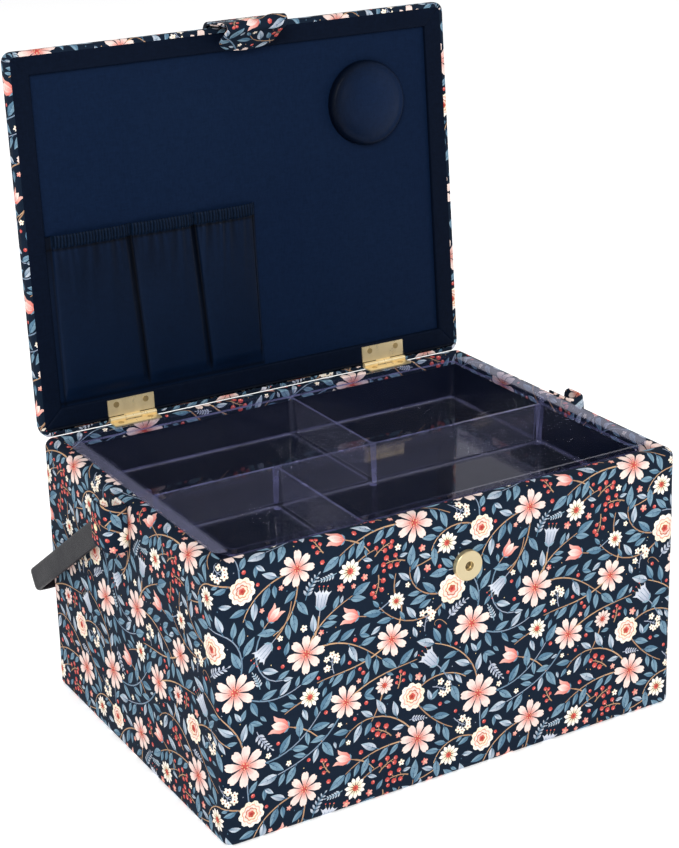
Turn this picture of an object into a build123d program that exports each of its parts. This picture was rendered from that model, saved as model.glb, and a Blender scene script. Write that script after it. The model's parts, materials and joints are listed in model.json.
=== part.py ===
from build123d import *
import math
import os

# Sewing box, lid open. Millimetres. Origin: centre of the underside.
# +X to the right seen from the front, +Y to the back, +Z up.
os.makedirs("parts", exist_ok=True)

# ---------------------------------------------------------------- box
W = 320.0            # width over the fabric
D = 240.0            # depth over the fabric
H = 173.0            # height of the rim
CORNER_R = 6.5       # upright corners
RIM_R = 5.5          # soft outer edge of the rim
FOOT_R = 3.0         # outer edge at the underside
COVER_T = 1.2        # fabric with its thin wadding
COVER_Z0 = 0.2       # the turned-under cover stops just above the underside
BOARD_T = 8.0        # wall boards
BASE_T = 6.0         # base board
LINING_T = 1.3       # card with satin
TURN_T = 0.8         # cover turned in over the rim
TURN_Z = 165.0       # lower edge of the turned-in cover
BASE_COVER_T = 1.3
TURN_UNDER = 14.0    # margin of the cover under the base

# ---------------------------------------------------------------- snap
SNAP_X = 3.5
SNAP_Z = 135.0
SNAP_R = 9.3
SNAP_T = 3.5
SNAP_HOLE_R = 3.0
STUD_R = 8.0
STUD_T = 2.5

# ---------------------------------------------------------------- hinges
HINGE_X = 96.5       # hinge centres, left and right
HINGE_W = 33.0
PIN_Y = 118.0
E = 2.0              # pin axis above the rim, and in front of the lid's inner face
PIN_Z = H + E
PIN_R = 0.8
KNUCKLE_R = 1.7
KNUCKLE_HALF = 5.6   # half of the middle knuckle
KNUCKLE_GAP = 0.2
LEAF_T = 0.9
LID_LEAF_H = 12.8
BODY_LEAF_Y = 109.0
SCREW_DX = 10.5
SCREW_R = 1.0
SCREW_HEAD_R = 2.0
SCREW_L = 8.0

# ---------------------------------------------------------------- lid
LID_ANGLE = 3.9      # lean past upright
LID_W = 320.0
LID_S0 = -1.0        # hinge edge, measured from the pin along the lid
LID_S1 = 243.0       # free edge
LID_T = 10.0
LID_R = 6.5
LID_OUT_R = 4.5
LID_IN_R = 2.0
LID_COVER_T = 0.8
LID_LIP = 3.2        # cover turned on to the inner face
BAND = 14.0          # border band, from the lid's edge
RAIL_T = 4.8
LID_BOARD_T = 2.8
RECESS = 2.2         # inner panel below the band
PANEL_T = 3.4

# pocket on the inner panel
POCKET_X0 = -145.0
POCKET_X1 = 4.5
POCKET_S0 = 13.6
POCKET_S1 = 126.0
POCKET_DIV = (-86.0, -40.0)
POCKET_GAP = 5.4
POCKET_T = 1.0
ELASTIC_T = 0.9
ELASTIC_H = 7.6

# pincushion
CUSHION_X = 95.0
CUSHION_S = 181.5
CUSHION_R = 29.0
CUSHION_H = 15.0

# ---------------------------------------------------------------- closure tab
TAB_W = 44.0
TAB_T = 2.4
TAB_S = 246.0        # mid plane of the tab, measured like the lid
TAB_ROOT_S = 224.0
TAB_FOLD_I = 24.0    # fold line on the tab's centre, from the pin plane
TAB_SKEW = 4.0       # slope of the fold line
TAB_END_I = 52.0
TAB_FOLD = 140.0     # fold of the flap with the lid open

# ---------------------------------------------------------------- tray
TRAY_TOP = H + 2.1
TRAY_T = 1.6
TRAY_X = 142.0       # inner half width at the top
TRAY_Y0 = -106.0
TRAY_Y1 = 101.0
TRAY_FLOOR = 144.9
TRAY_FLOOR_T = 1.8
TRAY_DRAFT = 2.4
TRAY_FILLET = 1.6     # inside, along the floor
DIV_TOP = 171.0
DIV_Y = -3.3
DIV_BACK_X = 12.0
DIV_FRONT_X = -57.0
DIV_T = 1.6
FLANGE_X = 151.5
FLANGE_Y0 = -104.0
FLANGE_Y1 = 95.0
FLANGE_T = 1.8

# ---------------------------------------------------------------- handle
PIVOT_Y = 4.0
PIVOT_Z = 156.5
ARM_IN = 167.0       # inner face of each arm
STRAP_T = 5.0
STRAP_W = 15.0
ARM_L = 149.5        # pivot to the middle of the bar
ARM_DROP = 34.3      # arms below level, at rest
CORE_T = 2.6
CORE_W = 12.0
LOOP_T = 2.2
LOOP_OUT = 174.7
LOOP_Y0 = -11.5
LOOP_Y1 = 12.5
LOOP_Z0 = 143.0
LOOP_Z1 = 172.0
RIVET_R = 1.5
RIVET_FIT = 0.05

a = math.radians(LID_ANGLE)
# lid frame: x across, y along the lid from the pin to the free edge,
# z out of the lid's inner face
LID = Plane(origin=(0, PIN_Y, PIN_Z), x_dir=(1, 0, 0), z_dir=(0, -math.cos(a), math.sin(a)))
# the same frame seen from the side: x along the lid, y out of the inner face
SIDE = Plane(origin=(0, PIN_Y, PIN_Z), x_dir=(0, math.sin(a), math.cos(a)), z_dir=(1, 0, 0))
INNER_X = W / 2 - COVER_T - BOARD_T
INNER_Y = D / 2 - COVER_T - BOARD_T
Z_FLOOR = COVER_Z0 + COVER_T + BASE_T
LID_SM = (LID_S0 + LID_S1) / 2
LID_L = LID_S1 - LID_S0


def save(node, name):
    node.part.label = name
    export_step(node.part, "parts/" + name + ".step")
    print(name, len(node.part.solids()), "solid(s)", round(node.part.volume, 1), "mm3")


# ================================================================ box walls
# outline of the boards, rounded as the finished box is
with BuildPart() as carcass:
    with BuildSketch(Plane.XY.offset(COVER_Z0 + COVER_T)):
        RectangleRounded(W - 2 * COVER_T, D - 2 * COVER_T, CORNER_R - COVER_T)
    extrude(amount=H - COVER_T - COVER_Z0 - COVER_T)
    fillet(carcass.faces().sort_by(Axis.Z)[-1].edges(), RIM_R - COVER_T)
    fillet(carcass.faces().sort_by(Axis.Z)[0].edges(), FOOT_R - COVER_T)

with BuildPart() as base_board:
    with BuildSketch(Plane.XY.offset(COVER_Z0 + COVER_T)):
        Rectangle(2 * INNER_X, 2 * INNER_Y)
    extrude(amount=BASE_T)
save(base_board, "base_board")

with BuildPart() as front_board:
    add(carcass.part)
    with BuildSketch(Plane.XY):
        with Locations((0, -D / 2 + (D / 2 - INNER_Y) / 2)):
            Rectangle(W, D / 2 - INNER_Y)
    extrude(amount=H, mode=Mode.INTERSECT)
    # hole for the snap's post and a seat for its washer
    with BuildSketch(Plane.XZ.offset(INNER_Y - 5)):
        with Locations((SNAP_X, SNAP_Z)):
            Circle(2.1)
    extrude(amount=20, mode=Mode.SUBTRACT)
    with BuildSketch(Plane.XZ.offset(INNER_Y - 1)):
        with Locations((SNAP_X, SNAP_Z)):
            Circle(7.1)
    extrude(amount=2, mode=Mode.SUBTRACT)
save(front_board, "front_board")

with BuildPart() as back_board:
    add(carcass.part)
    with BuildSketch(Plane.XY):
        with Locations((0, D / 2 - (D / 2 - INNER_Y) / 2)):
            Rectangle(W, D / 2 - INNER_Y)
    extrude(amount=H, mode=Mode.INTERSECT)
    # screw holes for the hinges
    with BuildSketch(Plane.XY.offset(H + 1)):
        with Locations(*[(sx * HINGE_X + dx, 113.5) for sx in (-1, 1) for dx in (-SCREW_DX, SCREW_DX)]):
            Circle(SCREW_R)
    extrude(amount=-(SCREW_L + 1.2), mode=Mode.SUBTRACT)
save(back_board, "back_board")

for side, sx in (("left", -1), ("right", 1)):
    with BuildPart() as side_board:
        add(carcass.part)
        with BuildSketch(Plane.XY):
            with Locations((sx * (INNER_X + (W / 2 - INNER_X) / 2), 0)):
                Rectangle(W / 2 - INNER_X, 2 * INNER_Y)
        extrude(amount=H, mode=Mode.INTERSECT)
        # hole for the handle's rivet and a seat for its washer
        with BuildSketch(Plane.YZ.offset(sx * (INNER_X - 5))):
            with Locations((PIVOT_Y, PIVOT_Z)):
                Circle(RIVET_R)
        extrude(amount=sx * 20, mode=Mode.SUBTRACT)
        with BuildSketch(Plane.YZ.offset(sx * (INNER_X - 1))):
            with Locations((PIVOT_Y, PIVOT_Z)):
                Circle(5.0)
        extrude(amount=sx * 2.6, mode=Mode.SUBTRACT)
    save(side_board, side + "_board")

# printed fabric with thin wadding: four walls, over the rim, turned under
with BuildPart() as outer_cover:
    with BuildSketch(Plane.XY.offset(COVER_Z0)):
        RectangleRounded(W, D, CORNER_R)
    extrude(amount=H - COVER_Z0)
    fillet(outer_cover.faces().sort_by(Axis.Z)[-1].edges(), RIM_R)
    fillet(outer_cover.faces().sort_by(Axis.Z)[0].edges(), FOOT_R)
    add(carcass.part, mode=Mode.SUBTRACT)
    with BuildSketch(Plane.XY.offset(TURN_Z)):
        Rectangle(2 * INNER_X, 2 * INNER_Y)
    extrude(amount=H - COVER_T - TURN_Z)
    with BuildSketch(Plane.XY.offset(TURN_Z - 1)):
        RectangleRounded(2 * (INNER_X - TURN_T), 2 * (INNER_Y - TURN_T), 1.5)
    extrude(amount=20, mode=Mode.SUBTRACT)
    with BuildSketch(Plane.XY):
        RectangleRounded(W - 2 * TURN_UNDER, D - 2 * TURN_UNDER, 3)
    extrude(amount=5, mode=Mode.SUBTRACT)
    # holes for the snap's post, the rivets and the hinge screws
    with BuildSketch(Plane.XZ.offset(D / 2 - 4)):
        with Locations((SNAP_X, SNAP_Z)):
            Circle(2.1)
    extrude(amount=8, mode=Mode.SUBTRACT)
    with BuildSketch(Plane.YZ.offset(-W / 2 - 5)):
        with Locations((PIVOT_Y, PIVOT_Z)):
            Circle(RIVET_R)
    extrude(amount=W + 10, mode=Mode.SUBTRACT)
    with BuildSketch(Plane.XY.offset(H + 1)):
        with Locations(*[(sx * HINGE_X + dx, 113.5) for sx in (-1, 1) for dx in (-SCREW_DX, SCREW_DX)]):
            Circle(SCREW_R)
    extrude(amount=-4, mode=Mode.SUBTRACT)
save(outer_cover, "outer_cover")

with BuildPart() as base_cover:
    with BuildSketch(Plane.XY):
        RectangleRounded(W - 2 * TURN_UNDER - 0.4, D - 2 * TURN_UNDER - 0.4, 3)
    extrude(amount=BASE_COVER_T)
save(base_cover, "base_cover")

# ================================================================ lining
with BuildPart() as floor_lining:
    with BuildSketch(Plane.XY.offset(Z_FLOOR)):
        Rectangle(2 * INNER_X, 2 * INNER_Y)
    extrude(amount=LINING_T)
save(floor_lining, "floor_lining")

for name, sy in (("front_lining", -1), ("back_lining", 1)):
    with BuildPart() as wall_lining:
        with BuildSketch(Plane.XY.offset(Z_FLOOR + LINING_T)):
            with Locations((0, sy * (INNER_Y - LINING_T / 2))):
                Rectangle(2 * INNER_X, LINING_T)
        extrude(amount=TURN_Z - Z_FLOOR - LINING_T)
    save(wall_lining, name)

for name, sx in (("left_lining", -1), ("right_lining", 1)):
    with BuildPart() as wall_lining:
        with BuildSketch(Plane.XY.offset(Z_FLOOR + LINING_T)):
            with Locations((sx * (INNER_X - LINING_T / 2), 0)):
                Rectangle(LINING_T, 2 * (INNER_Y - LINING_T))
        extrude(amount=TURN_Z - Z_FLOOR - LINING_T)
    save(wall_lining, name)

# ================================================================ snap, box half
with BuildPart() as snap_socket:
    with BuildSketch(Plane.XZ.offset(D / 2)):
        with Locations((SNAP_X, SNAP_Z)):
            Circle(SNAP_R)
    extrude(amount=SNAP_T)
    fillet(snap_socket.faces().sort_by(Axis.Y)[0].edges(), 0.8)
    with BuildSketch(Plane.XZ.offset(D / 2 + SNAP_T)):
        with Locations((SNAP_X, SNAP_Z)):
            Circle(SNAP_HOLE_R)
    extrude(amount=-2.6, mode=Mode.SUBTRACT)
    with BuildSketch(Plane.XZ.offset(INNER_Y)):
        with Locations((SNAP_X, SNAP_Z)):
            Circle(2.0)
    extrude(amount=D / 2 - INNER_Y)
save(snap_socket, "snap_socket")

with BuildPart() as snap_socket_washer:
    with BuildSketch(Plane.XZ.offset(INNER_Y + 0.05)):
        with Locations((SNAP_X, SNAP_Z)):
            Circle(7.0)
            Circle(2.05, mode=Mode.SUBTRACT)
    extrude(amount=0.9)
save(snap_socket_washer, "snap_socket_washer")

# ================================================================ hinges
# countersunk screws: body screws stand up in the back board
with BuildPart() as hinge_body_screws:
    for sx in (-1, 1):
        for dx in (-SCREW_DX, SCREW_DX):
            x = sx * HINGE_X + dx
            top = H + LEAF_T + 0.1
            with BuildSketch(Plane(origin=(x, 113.5, 0), x_dir=(1, 0, 0), z_dir=(0, -1, 0))):
                with BuildLine():
                    Polyline((0, top), (SCREW_HEAD_R, top), (SCREW_HEAD_R, top - 0.15),
                             (SCREW_R, top - 0.95), (SCREW_R, top - SCREW_L), (0, top - SCREW_L - 0.8), close=True)
                make_face()
            revolve(axis=Axis((x, 113.5, 0), (0, 0, 1)))
save(hinge_body_screws, "hinge_body_screws")

with BuildPart() as hinge_lid_screws:
    for sx in (-1, 1):
        for dx in (-SCREW_DX, SCREW_DX):
            x = sx * HINGE_X + dx
            top = -E + LEAF_T + 0.1
            with BuildSketch(SIDE.offset(x)):
                with BuildLine():
                    Polyline((9.3, top), (9.3 + SCREW_HEAD_R, top), (9.3 + SCREW_HEAD_R, top - 0.15),
                             (9.3 + SCREW_R, top - 0.95), (9.3 + SCREW_R, top - 6.4), (9.3, top - 7.2), close=True)
                make_face()
            p0 = SIDE.offset(x).from_local_coords(Vector(9.3, 0, 0))
            revolve(axis=Axis(p0, SIDE.y_dir))
save(hinge_lid_screws, "hinge_lid_screws")

with BuildPart() as hinge_pins:
    for sx in (-1, 1):
        with BuildSketch(Plane.YZ.offset(sx * HINGE_X - HINGE_W / 2)):
            with Locations((PIN_Y, PIN_Z)):
                Circle(PIN_R)
        extrude(amount=HINGE_W)
save(hinge_pins, "hinge_pins")

for side, sx in (("left", -1), ("right", 1)):
    hx = sx * HINGE_X
    outer_len = HINGE_W / 2 - KNUCKLE_HALF - KNUCKLE_GAP
    # leaf on the rim, with the two outer knuckles
    with BuildPart() as body_leaf:
        with BuildSketch(Plane.XY.offset(H)):
            with Locations((hx, (BODY_LEAF_Y + PIN_Y) / 2)):
                Rectangle(HINGE_W, PIN_Y - BODY_LEAF_Y)
            with Locations((hx, PIN_Y)):
                Rectangle(2 * (KNUCKLE_HALF + KNUCKLE_GAP), 2 * (KNUCKLE_R + 0.3), mode=Mode.SUBTRACT)
        extrude(amount=LEAF_T)
        for x0 in (hx - HINGE_W / 2, hx + KNUCKLE_HALF + KNUCKLE_GAP):
            with BuildSketch(Plane.YZ.offset(x0)):
                with Locations((PIN_Y, PIN_Z)):
                    Circle(KNUCKLE_R)
            extrude(amount=outer_len)
        with BuildSketch(Plane.YZ.offset(hx - HINGE_W / 2 - 1)):
            with Locations((PIN_Y, PIN_Z)):
                Circle(PIN_R)
        extrude(amount=HINGE_W + 2, mode=Mode.SUBTRACT)
        add(hinge_body_screws.part, mode=Mode.SUBTRACT)
    save(body_leaf, "hinge_" + side + "_body_leaf")

    # leaf on the lid's border band, with the middle knuckle
    with BuildPart() as lid_leaf:
        with BuildSketch(LID.offset(-E)):
            with Locations((hx, LID_LEAF_H / 2)):
                Rectangle(HINGE_W, LID_LEAF_H)
            for x1 in (hx - HINGE_W / 2, hx + HINGE_W / 2):
                with Locations((x1, 0)):
                    Rectangle(2 * (outer_len + KNUCKLE_GAP), 2 * (KNUCKLE_R + 0.3), mode=Mode.SUBTRACT)
        extrude(amount=LEAF_T)
        with BuildSketch(Plane.YZ.offset(hx - KNUCKLE_HALF)):
            with Locations((PIN_Y, PIN_Z)):
                Circle(KNUCKLE_R)
        extrude(amount=2 * KNUCKLE_HALF)
        with BuildSketch(Plane.YZ.offset(hx - HINGE_W / 2 - 1)):
            with Locations((PIN_Y, PIN_Z)):
                Circle(PIN_R + 0.05)
        extrude(amount=HINGE_W + 2, mode=Mode.SUBTRACT)
        add(hinge_lid_screws.part, mode=Mode.SUBTRACT)
    save(lid_leaf, "hinge_" + side + "_lid_leaf")

# ================================================================ lid
# outline under the lid's cover
with BuildPart() as lid_body:
    with BuildSketch(LID.offset(-E - LID_T + LID_COVER_T)):
        with Locations((0, LID_SM)):
            RectangleRounded(LID_W - 2 * LID_COVER_T, LID_L - 2 * LID_COVER_T, LID_R - LID_COVER_T)
    extrude(amount=LID_T - 2 * LID_COVER_T)
    lid_axis = Axis((0, PIN_Y, PIN_Z), LID.z_dir)
    fillet(lid_body.faces().sort_by(lid_axis)[0].edges(), LID_OUT_R - LID_COVER_T)
    fillet(lid_body.faces().sort_by(lid_axis)[-1].edges(), LID_IN_R - LID_COVER_T)


def lid_slab(part, z0, z1, sketch_w, sketch_l, xm=0.0, sm=LID_SM):
    """keep the part of the lid's outline inside a block, z0 to z1 from the pin plane"""
    with BuildPart() as keep:
        with BuildSketch(LID.offset(z0)):
            with Locations((xm, sm)):
                Rectangle(sketch_w, sketch_l)
        extrude(amount=z1 - z0)
    return part & keep.part


Z_IN = -E                       # inner face, on the border band
Z_RAIL1 = Z_IN - LID_COVER_T    # top of the rails
Z_RAIL0 = Z_RAIL1 - RAIL_T
Z_BOARD0 = Z_RAIL0 - LID_BOARD_T
Z_OUT = Z_IN - LID_T
Z_PANEL1 = Z_IN - RECESS        # face of the recessed panel
RAIL_IN = BAND + 0.6            # inner edge of the rails, from the lid's edge

with BuildPart() as lid_board:
    add(lid_slab(lid_body.part, Z_BOARD0, Z_RAIL0, LID_W, LID_L))
    with BuildSketch(LID.offset(Z_RAIL0 + 0.5)):
        with Locations(*[(sx * HINGE_X + dx, 9.3) for sx in (-1, 1) for dx in (-SCREW_DX, SCREW_DX)]):
            Circle(SCREW_R)
    extrude(amount=-1.3, mode=Mode.SUBTRACT)
save(lid_board, "lid_board")

with BuildPart() as lid_wadding:
    add(lid_slab(lid_body.part, Z_OUT + LID_COVER_T, Z_BOARD0, LID_W, LID_L))
save(lid_wadding, "lid_wadding")

rail_w = RAIL_IN
with BuildPart() as lid_front_rail:
    add(lid_slab(lid_body.part, Z_RAIL0, Z_RAIL1, LID_W, rail_w, 0, LID_S1 - rail_w / 2))
save(lid_front_rail, "lid_front_rail")

with BuildPart() as lid_back_rail:
    add(lid_slab(lid_body.part, Z_RAIL0, Z_RAIL1, LID_W, rail_w, 0, LID_S0 + rail_w / 2))
    with BuildSketch(LID.offset(Z_IN + 1)):
        with Locations(*[(sx * HINGE_X + dx, 9.3) for sx in (-1, 1) for dx in (-SCREW_DX, SCREW_DX)]):
            Circle(SCREW_R)
    extrude(amount=-12, mode=Mode.SUBTRACT)
save(lid_back_rail, "lid_back_rail")

for name, sx in (("lid_left_rail", -1), ("lid_right_rail", 1)):
    with BuildPart() as lid_side_rail:
        add(lid_slab(lid_body.part, Z_RAIL0, Z_RAIL1, rail_w, LID_L - 2 * rail_w, sx * (LID_W / 2 - rail_w / 2)))
    save(lid_side_rail, name)

# printed cover: over the outer face and the edges, a narrow lip inside
with BuildPart() as lid_cover:
    with BuildSketch(LID.offset(Z_OUT)):
        with Locations((0, LID_SM)):
            RectangleRounded(LID_W, LID_L, LID_R)
    extrude(amount=LID_T)
    fillet(lid_cover.faces().sort_by(lid_axis)[0].edges(), LID_OUT_R)
    fillet(lid_cover.faces().sort_by(lid_axis)[-1].edges(), LID_IN_R)
    add(lid_body.part, mode=Mode.SUBTRACT)
    with BuildSketch(LID.offset(Z_IN - LID_COVER_T - 0.5)):
        with Locations((0, LID_SM)):
            Rectangle(LID_W - 2 * LID_LIP, LID_L - 2 * LID_LIP)
    extrude(amount=3, mode=Mode.SUBTRACT)
save(lid_cover, "lid_cover")

# satin border band, mitred at the corners
with BuildPart() as lid_border_lining:
    with BuildSketch(LID.offset(Z_RAIL1)):
        with Locations((0, LID_SM)):
            Rectangle(LID_W - 2 * LID_LIP, LID_L - 2 * LID_LIP)
            Rectangle(LID_W - 2 * BAND, LID_L - 2 * BAND, mode=Mode.SUBTRACT)
    extrude(amount=LID_COVER_T)
    with BuildSketch(LID.offset(Z_IN + 1)):
        with Locations(*[(sx * HINGE_X + dx, 9.3) for sx in (-1, 1) for dx in (-SCREW_DX, SCREW_DX)]):
            Circle(SCREW_R)
    extrude(amount=-3, mode=Mode.SUBTRACT)
save(lid_border_lining, "lid_border_lining")

with BuildPart() as lid_lining_panel:
    with BuildSketch(LID.offset(Z_PANEL1 - PANEL_T)):
        with Locations((0, LID_SM)):
            Rectangle(LID_W - 2 * RAIL_IN - 0.2, LID_L - 2 * RAIL_IN - 0.2)
    extrude(amount=PANEL_T)
save(lid_lining_panel, "lid_lining_panel")

# pocket: a flat seam margin at the left and the bottom, three pouches open at the top
with BuildPart() as pocket_panel:
    with BuildSketch(LID.offset(Z_PANEL1)):
        with Locations(((POCKET_X0 + POCKET_X1) / 2, (POCKET_S0 + POCKET_S1) / 2)):
            Rectangle(POCKET_X1 - POCKET_X0, POCKET_S1 - POCKET_S0)
        with Locations(((POCKET_X0 + 4.5 + POCKET_X1) / 2, (POCKET_S0 + 5 + POCKET_S1) / 2 + 1)):
            Rectangle(POCKET_X1 - POCKET_X0 - 6.5, POCKET_S1 - POCKET_S0 - 3, mode=Mode.SUBTRACT)
    extrude(amount=POCKET_T)
    with BuildSketch(LID.offset(Z_PANEL1)):
        with Locations(((POCKET_X0 + 4.5 + POCKET_X1) / 2, (POCKET_S0 + 5 + POCKET_S1) / 2)):
            Rectangle(POCKET_X1 - POCKET_X0 - 4.5, POCKET_S1 - POCKET_S0 - 5)
    extrude(amount=POCKET_GAP + POCKET_T)
    edges = [POCKET_X0 + 4.5] + list(POCKET_DIV) + [POCKET_X1]
    for i in range(3):
        x0 = edges[i] + (1.0 if i == 0 else 0.6)
        x1 = edges[i + 1] - (1.0 if i == 2 else 0.6)
        with BuildSketch(LID.offset(Z_PANEL1)):
            with Locations(((x0 + x1) / 2, (POCKET_S0 + 6 + POCKET_S1 + 2) / 2)):
                Rectangle(x1 - x0, POCKET_S1 + 2 - POCKET_S0 - 6)
        extrude(amount=POCKET_GAP, mode=Mode.SUBTRACT)
save(pocket_panel, "pocket_panel")

with BuildPart() as pocket_elastic:
    with BuildSketch(LID.offset(Z_PANEL1 + POCKET_GAP + POCKET_T)):
        with Locations(((POCKET_X0 + 4.5 + POCKET_X1) / 2, POCKET_S1 - ELASTIC_H / 2)):
            Rectangle(POCKET_X1 - POCKET_X0 - 4.5, ELASTIC_H)
    extrude(amount=ELASTIC_T)
save(pocket_elastic, "pocket_elastic")

# pincushion: a low dome on the inner panel
sphere_r = (CUSHION_R ** 2 + CUSHION_H ** 2) / (2 * CUSHION_H)
with BuildPart() as pincushion:
    with BuildSketch(SIDE.offset(CUSHION_X)):
        with BuildLine():
            Line((CUSHION_S, Z_PANEL1), (CUSHION_S + CUSHION_R, Z_PANEL1))
            ThreePointArc((CUSHION_S + CUSHION_R, Z_PANEL1),
                          (CUSHION_S + sphere_r * math.sin(0.45),
                           Z_PANEL1 + CUSHION_H - sphere_r + sphere_r * math.cos(0.45)),
                          (CUSHION_S, Z_PANEL1 + CUSHION_H))
            Line((CUSHION_S, Z_PANEL1 + CUSHION_H), (CUSHION_S, Z_PANEL1))
        make_face()
    revolve(axis=Axis(SIDE.offset(CUSHION_X).from_local_coords(Vector(CUSHION_S, 0, 0)), SIDE.y_dir))
save(pincushion, "pincushion")

# ================================================================ closure tab
# the tab's own plane stands square to the lid at its free edge;
# local x across, local y away from the lid's inner face
TAB = Plane(origin=SIDE.from_local_coords(Vector(TAB_S, 0, 0)) + Vector(SNAP_X, 0, 0),
            x_dir=(1, 0, 0), z_dir=-LID.y_dir)
skew = math.radians(TAB_SKEW)
fold_dir = Vector(math.cos(skew), 0, 0) - LID.z_dir * math.sin(skew)
fold_at = TAB.from_local_coords(Vector(0, TAB_FOLD_I, 0))
half_w = TAB_W / 2


def fold_i(x, gap):
    """height of a line beside the fold line, gap away from it"""
    return TAB_FOLD_I - x * math.tan(skew) + gap / math.cos(skew)


# fixed part: stitched on the outer face, bent over the edge, up to the fold
with BuildPart() as tab_root:
    with BuildSketch(SIDE.offset(SNAP_X - half_w)) as root_profile:
        with BuildLine():
            Polyline((TAB_ROOT_S, Z_OUT - TAB_T), (TAB_S + TAB_T / 2, Z_OUT - TAB_T), (TAB_S + TAB_T / 2, 60),
                     (TAB_S - TAB_T / 2, 60), (TAB_S - TAB_T / 2, Z_OUT), (TAB_ROOT_S, Z_OUT), close=True)
        make_face()
        corners = root_profile.vertices()
        outer_c = [v for v in corners if (Vector(*tuple(v)) - Vector(TAB_S + TAB_T / 2, Z_OUT - TAB_T, 0)).length < 0.01]
        inner_c = [v for v in corners if (Vector(*tuple(v)) - Vector(TAB_S - TAB_T / 2, Z_OUT, 0)).length < 0.01]
        fillet(outer_c, 6.4)
        fillet(inner_c, 4.0)
    extrude(amount=TAB_W)
    # trimmed beside the slanting fold line
    with BuildSketch(TAB.offset(-10)):
        with BuildLine():
            Polyline((-half_w - 5, fold_i(-half_w - 5, -3.8)), (half_w + 5, fold_i(half_w + 5, -3.8)),
                     (half_w + 5, 90), (-half_w - 5, 90), close=True)
        make_face()
    extrude(amount=20, mode=Mode.SUBTRACT)
save(tab_root, "tab_root")

# flap beyond the fold, drawn straight and then folded over
with BuildPart() as flap_flat:
    with BuildSketch(TAB.offset(-TAB_T / 2)):
        with BuildLine():
            Polyline((-half_w, fold_i(-half_w, 0)), (half_w, fold_i(half_w, 0)), (half_w, TAB_END_I - 12),
                     (half_w - 3.5, TAB_END_I - 5.5), (half_w - 10, TAB_END_I - 1.2), (0, TAB_END_I),
                     (-half_w + 10, TAB_END_I - 1.2), (-half_w + 3.5, TAB_END_I - 5.5), (-half_w, TAB_END_I - 12),
                     close=True)
        make_face()
    extrude(amount=TAB_T)
    # roll along the fold line
    roll_len = TAB_W / math.cos(skew) - 1.2
    with BuildSketch(Plane(origin=fold_at - fold_dir * (roll_len / 2), z_dir=fold_dir)):
        Circle(TAB_T / 2)
    extrude(amount=roll_len)
    # seat for the stud's washer and a hole for its post
    with BuildSketch(TAB.offset(-0.6)):
        with Locations((0, -(SNAP_Z - PIN_Z))):
            Circle(6.1)
    extrude(amount=1.1, mode=Mode.SUBTRACT)
    with BuildSketch(TAB.offset(0)):
        with Locations((0, -(SNAP_Z - PIN_Z))):
            Circle(1.6)
    extrude(amount=5, mode=Mode.SUBTRACT)

with BuildPart() as stud_flat:
    with BuildSketch(TAB.offset(TAB_T / 2)):
        with Locations((0, -(SNAP_Z - PIN_Z))):
            Circle(STUD_R)
    extrude(amount=STUD_T)
    fillet(stud_flat.edges().filter_by(GeomType.CIRCLE).sort_by(Axis(TAB.origin, TAB.z_dir))[-1], 0.7)
    with BuildSketch(TAB.offset(0.5)):
        with Locations((0, -(SNAP_Z - PIN_Z))):
            Circle(1.55)
    extrude(amount=TAB_T / 2 - 0.5)

with BuildPart() as stud_washer_flat:
    with BuildSketch(TAB.offset(-0.55)):
        with Locations((0, -(SNAP_Z - PIN_Z))):
            Circle(6.0)
    extrude(amount=1.0)

fold_axis = Axis(fold_at, fold_dir)
FOLD_SIGN = 1.0
for flat, name in ((flap_flat, "tab_flap"), (stud_flat, "snap_stud"), (stud_washer_flat, "snap_stud_washer")):
    with BuildPart() as folded:
        add(flat.part.rotate(fold_axis, FOLD_SIGN * TAB_FOLD))
    save(folded, name)
print("tab fold at", fold_at, "axis", fold_dir)

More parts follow.
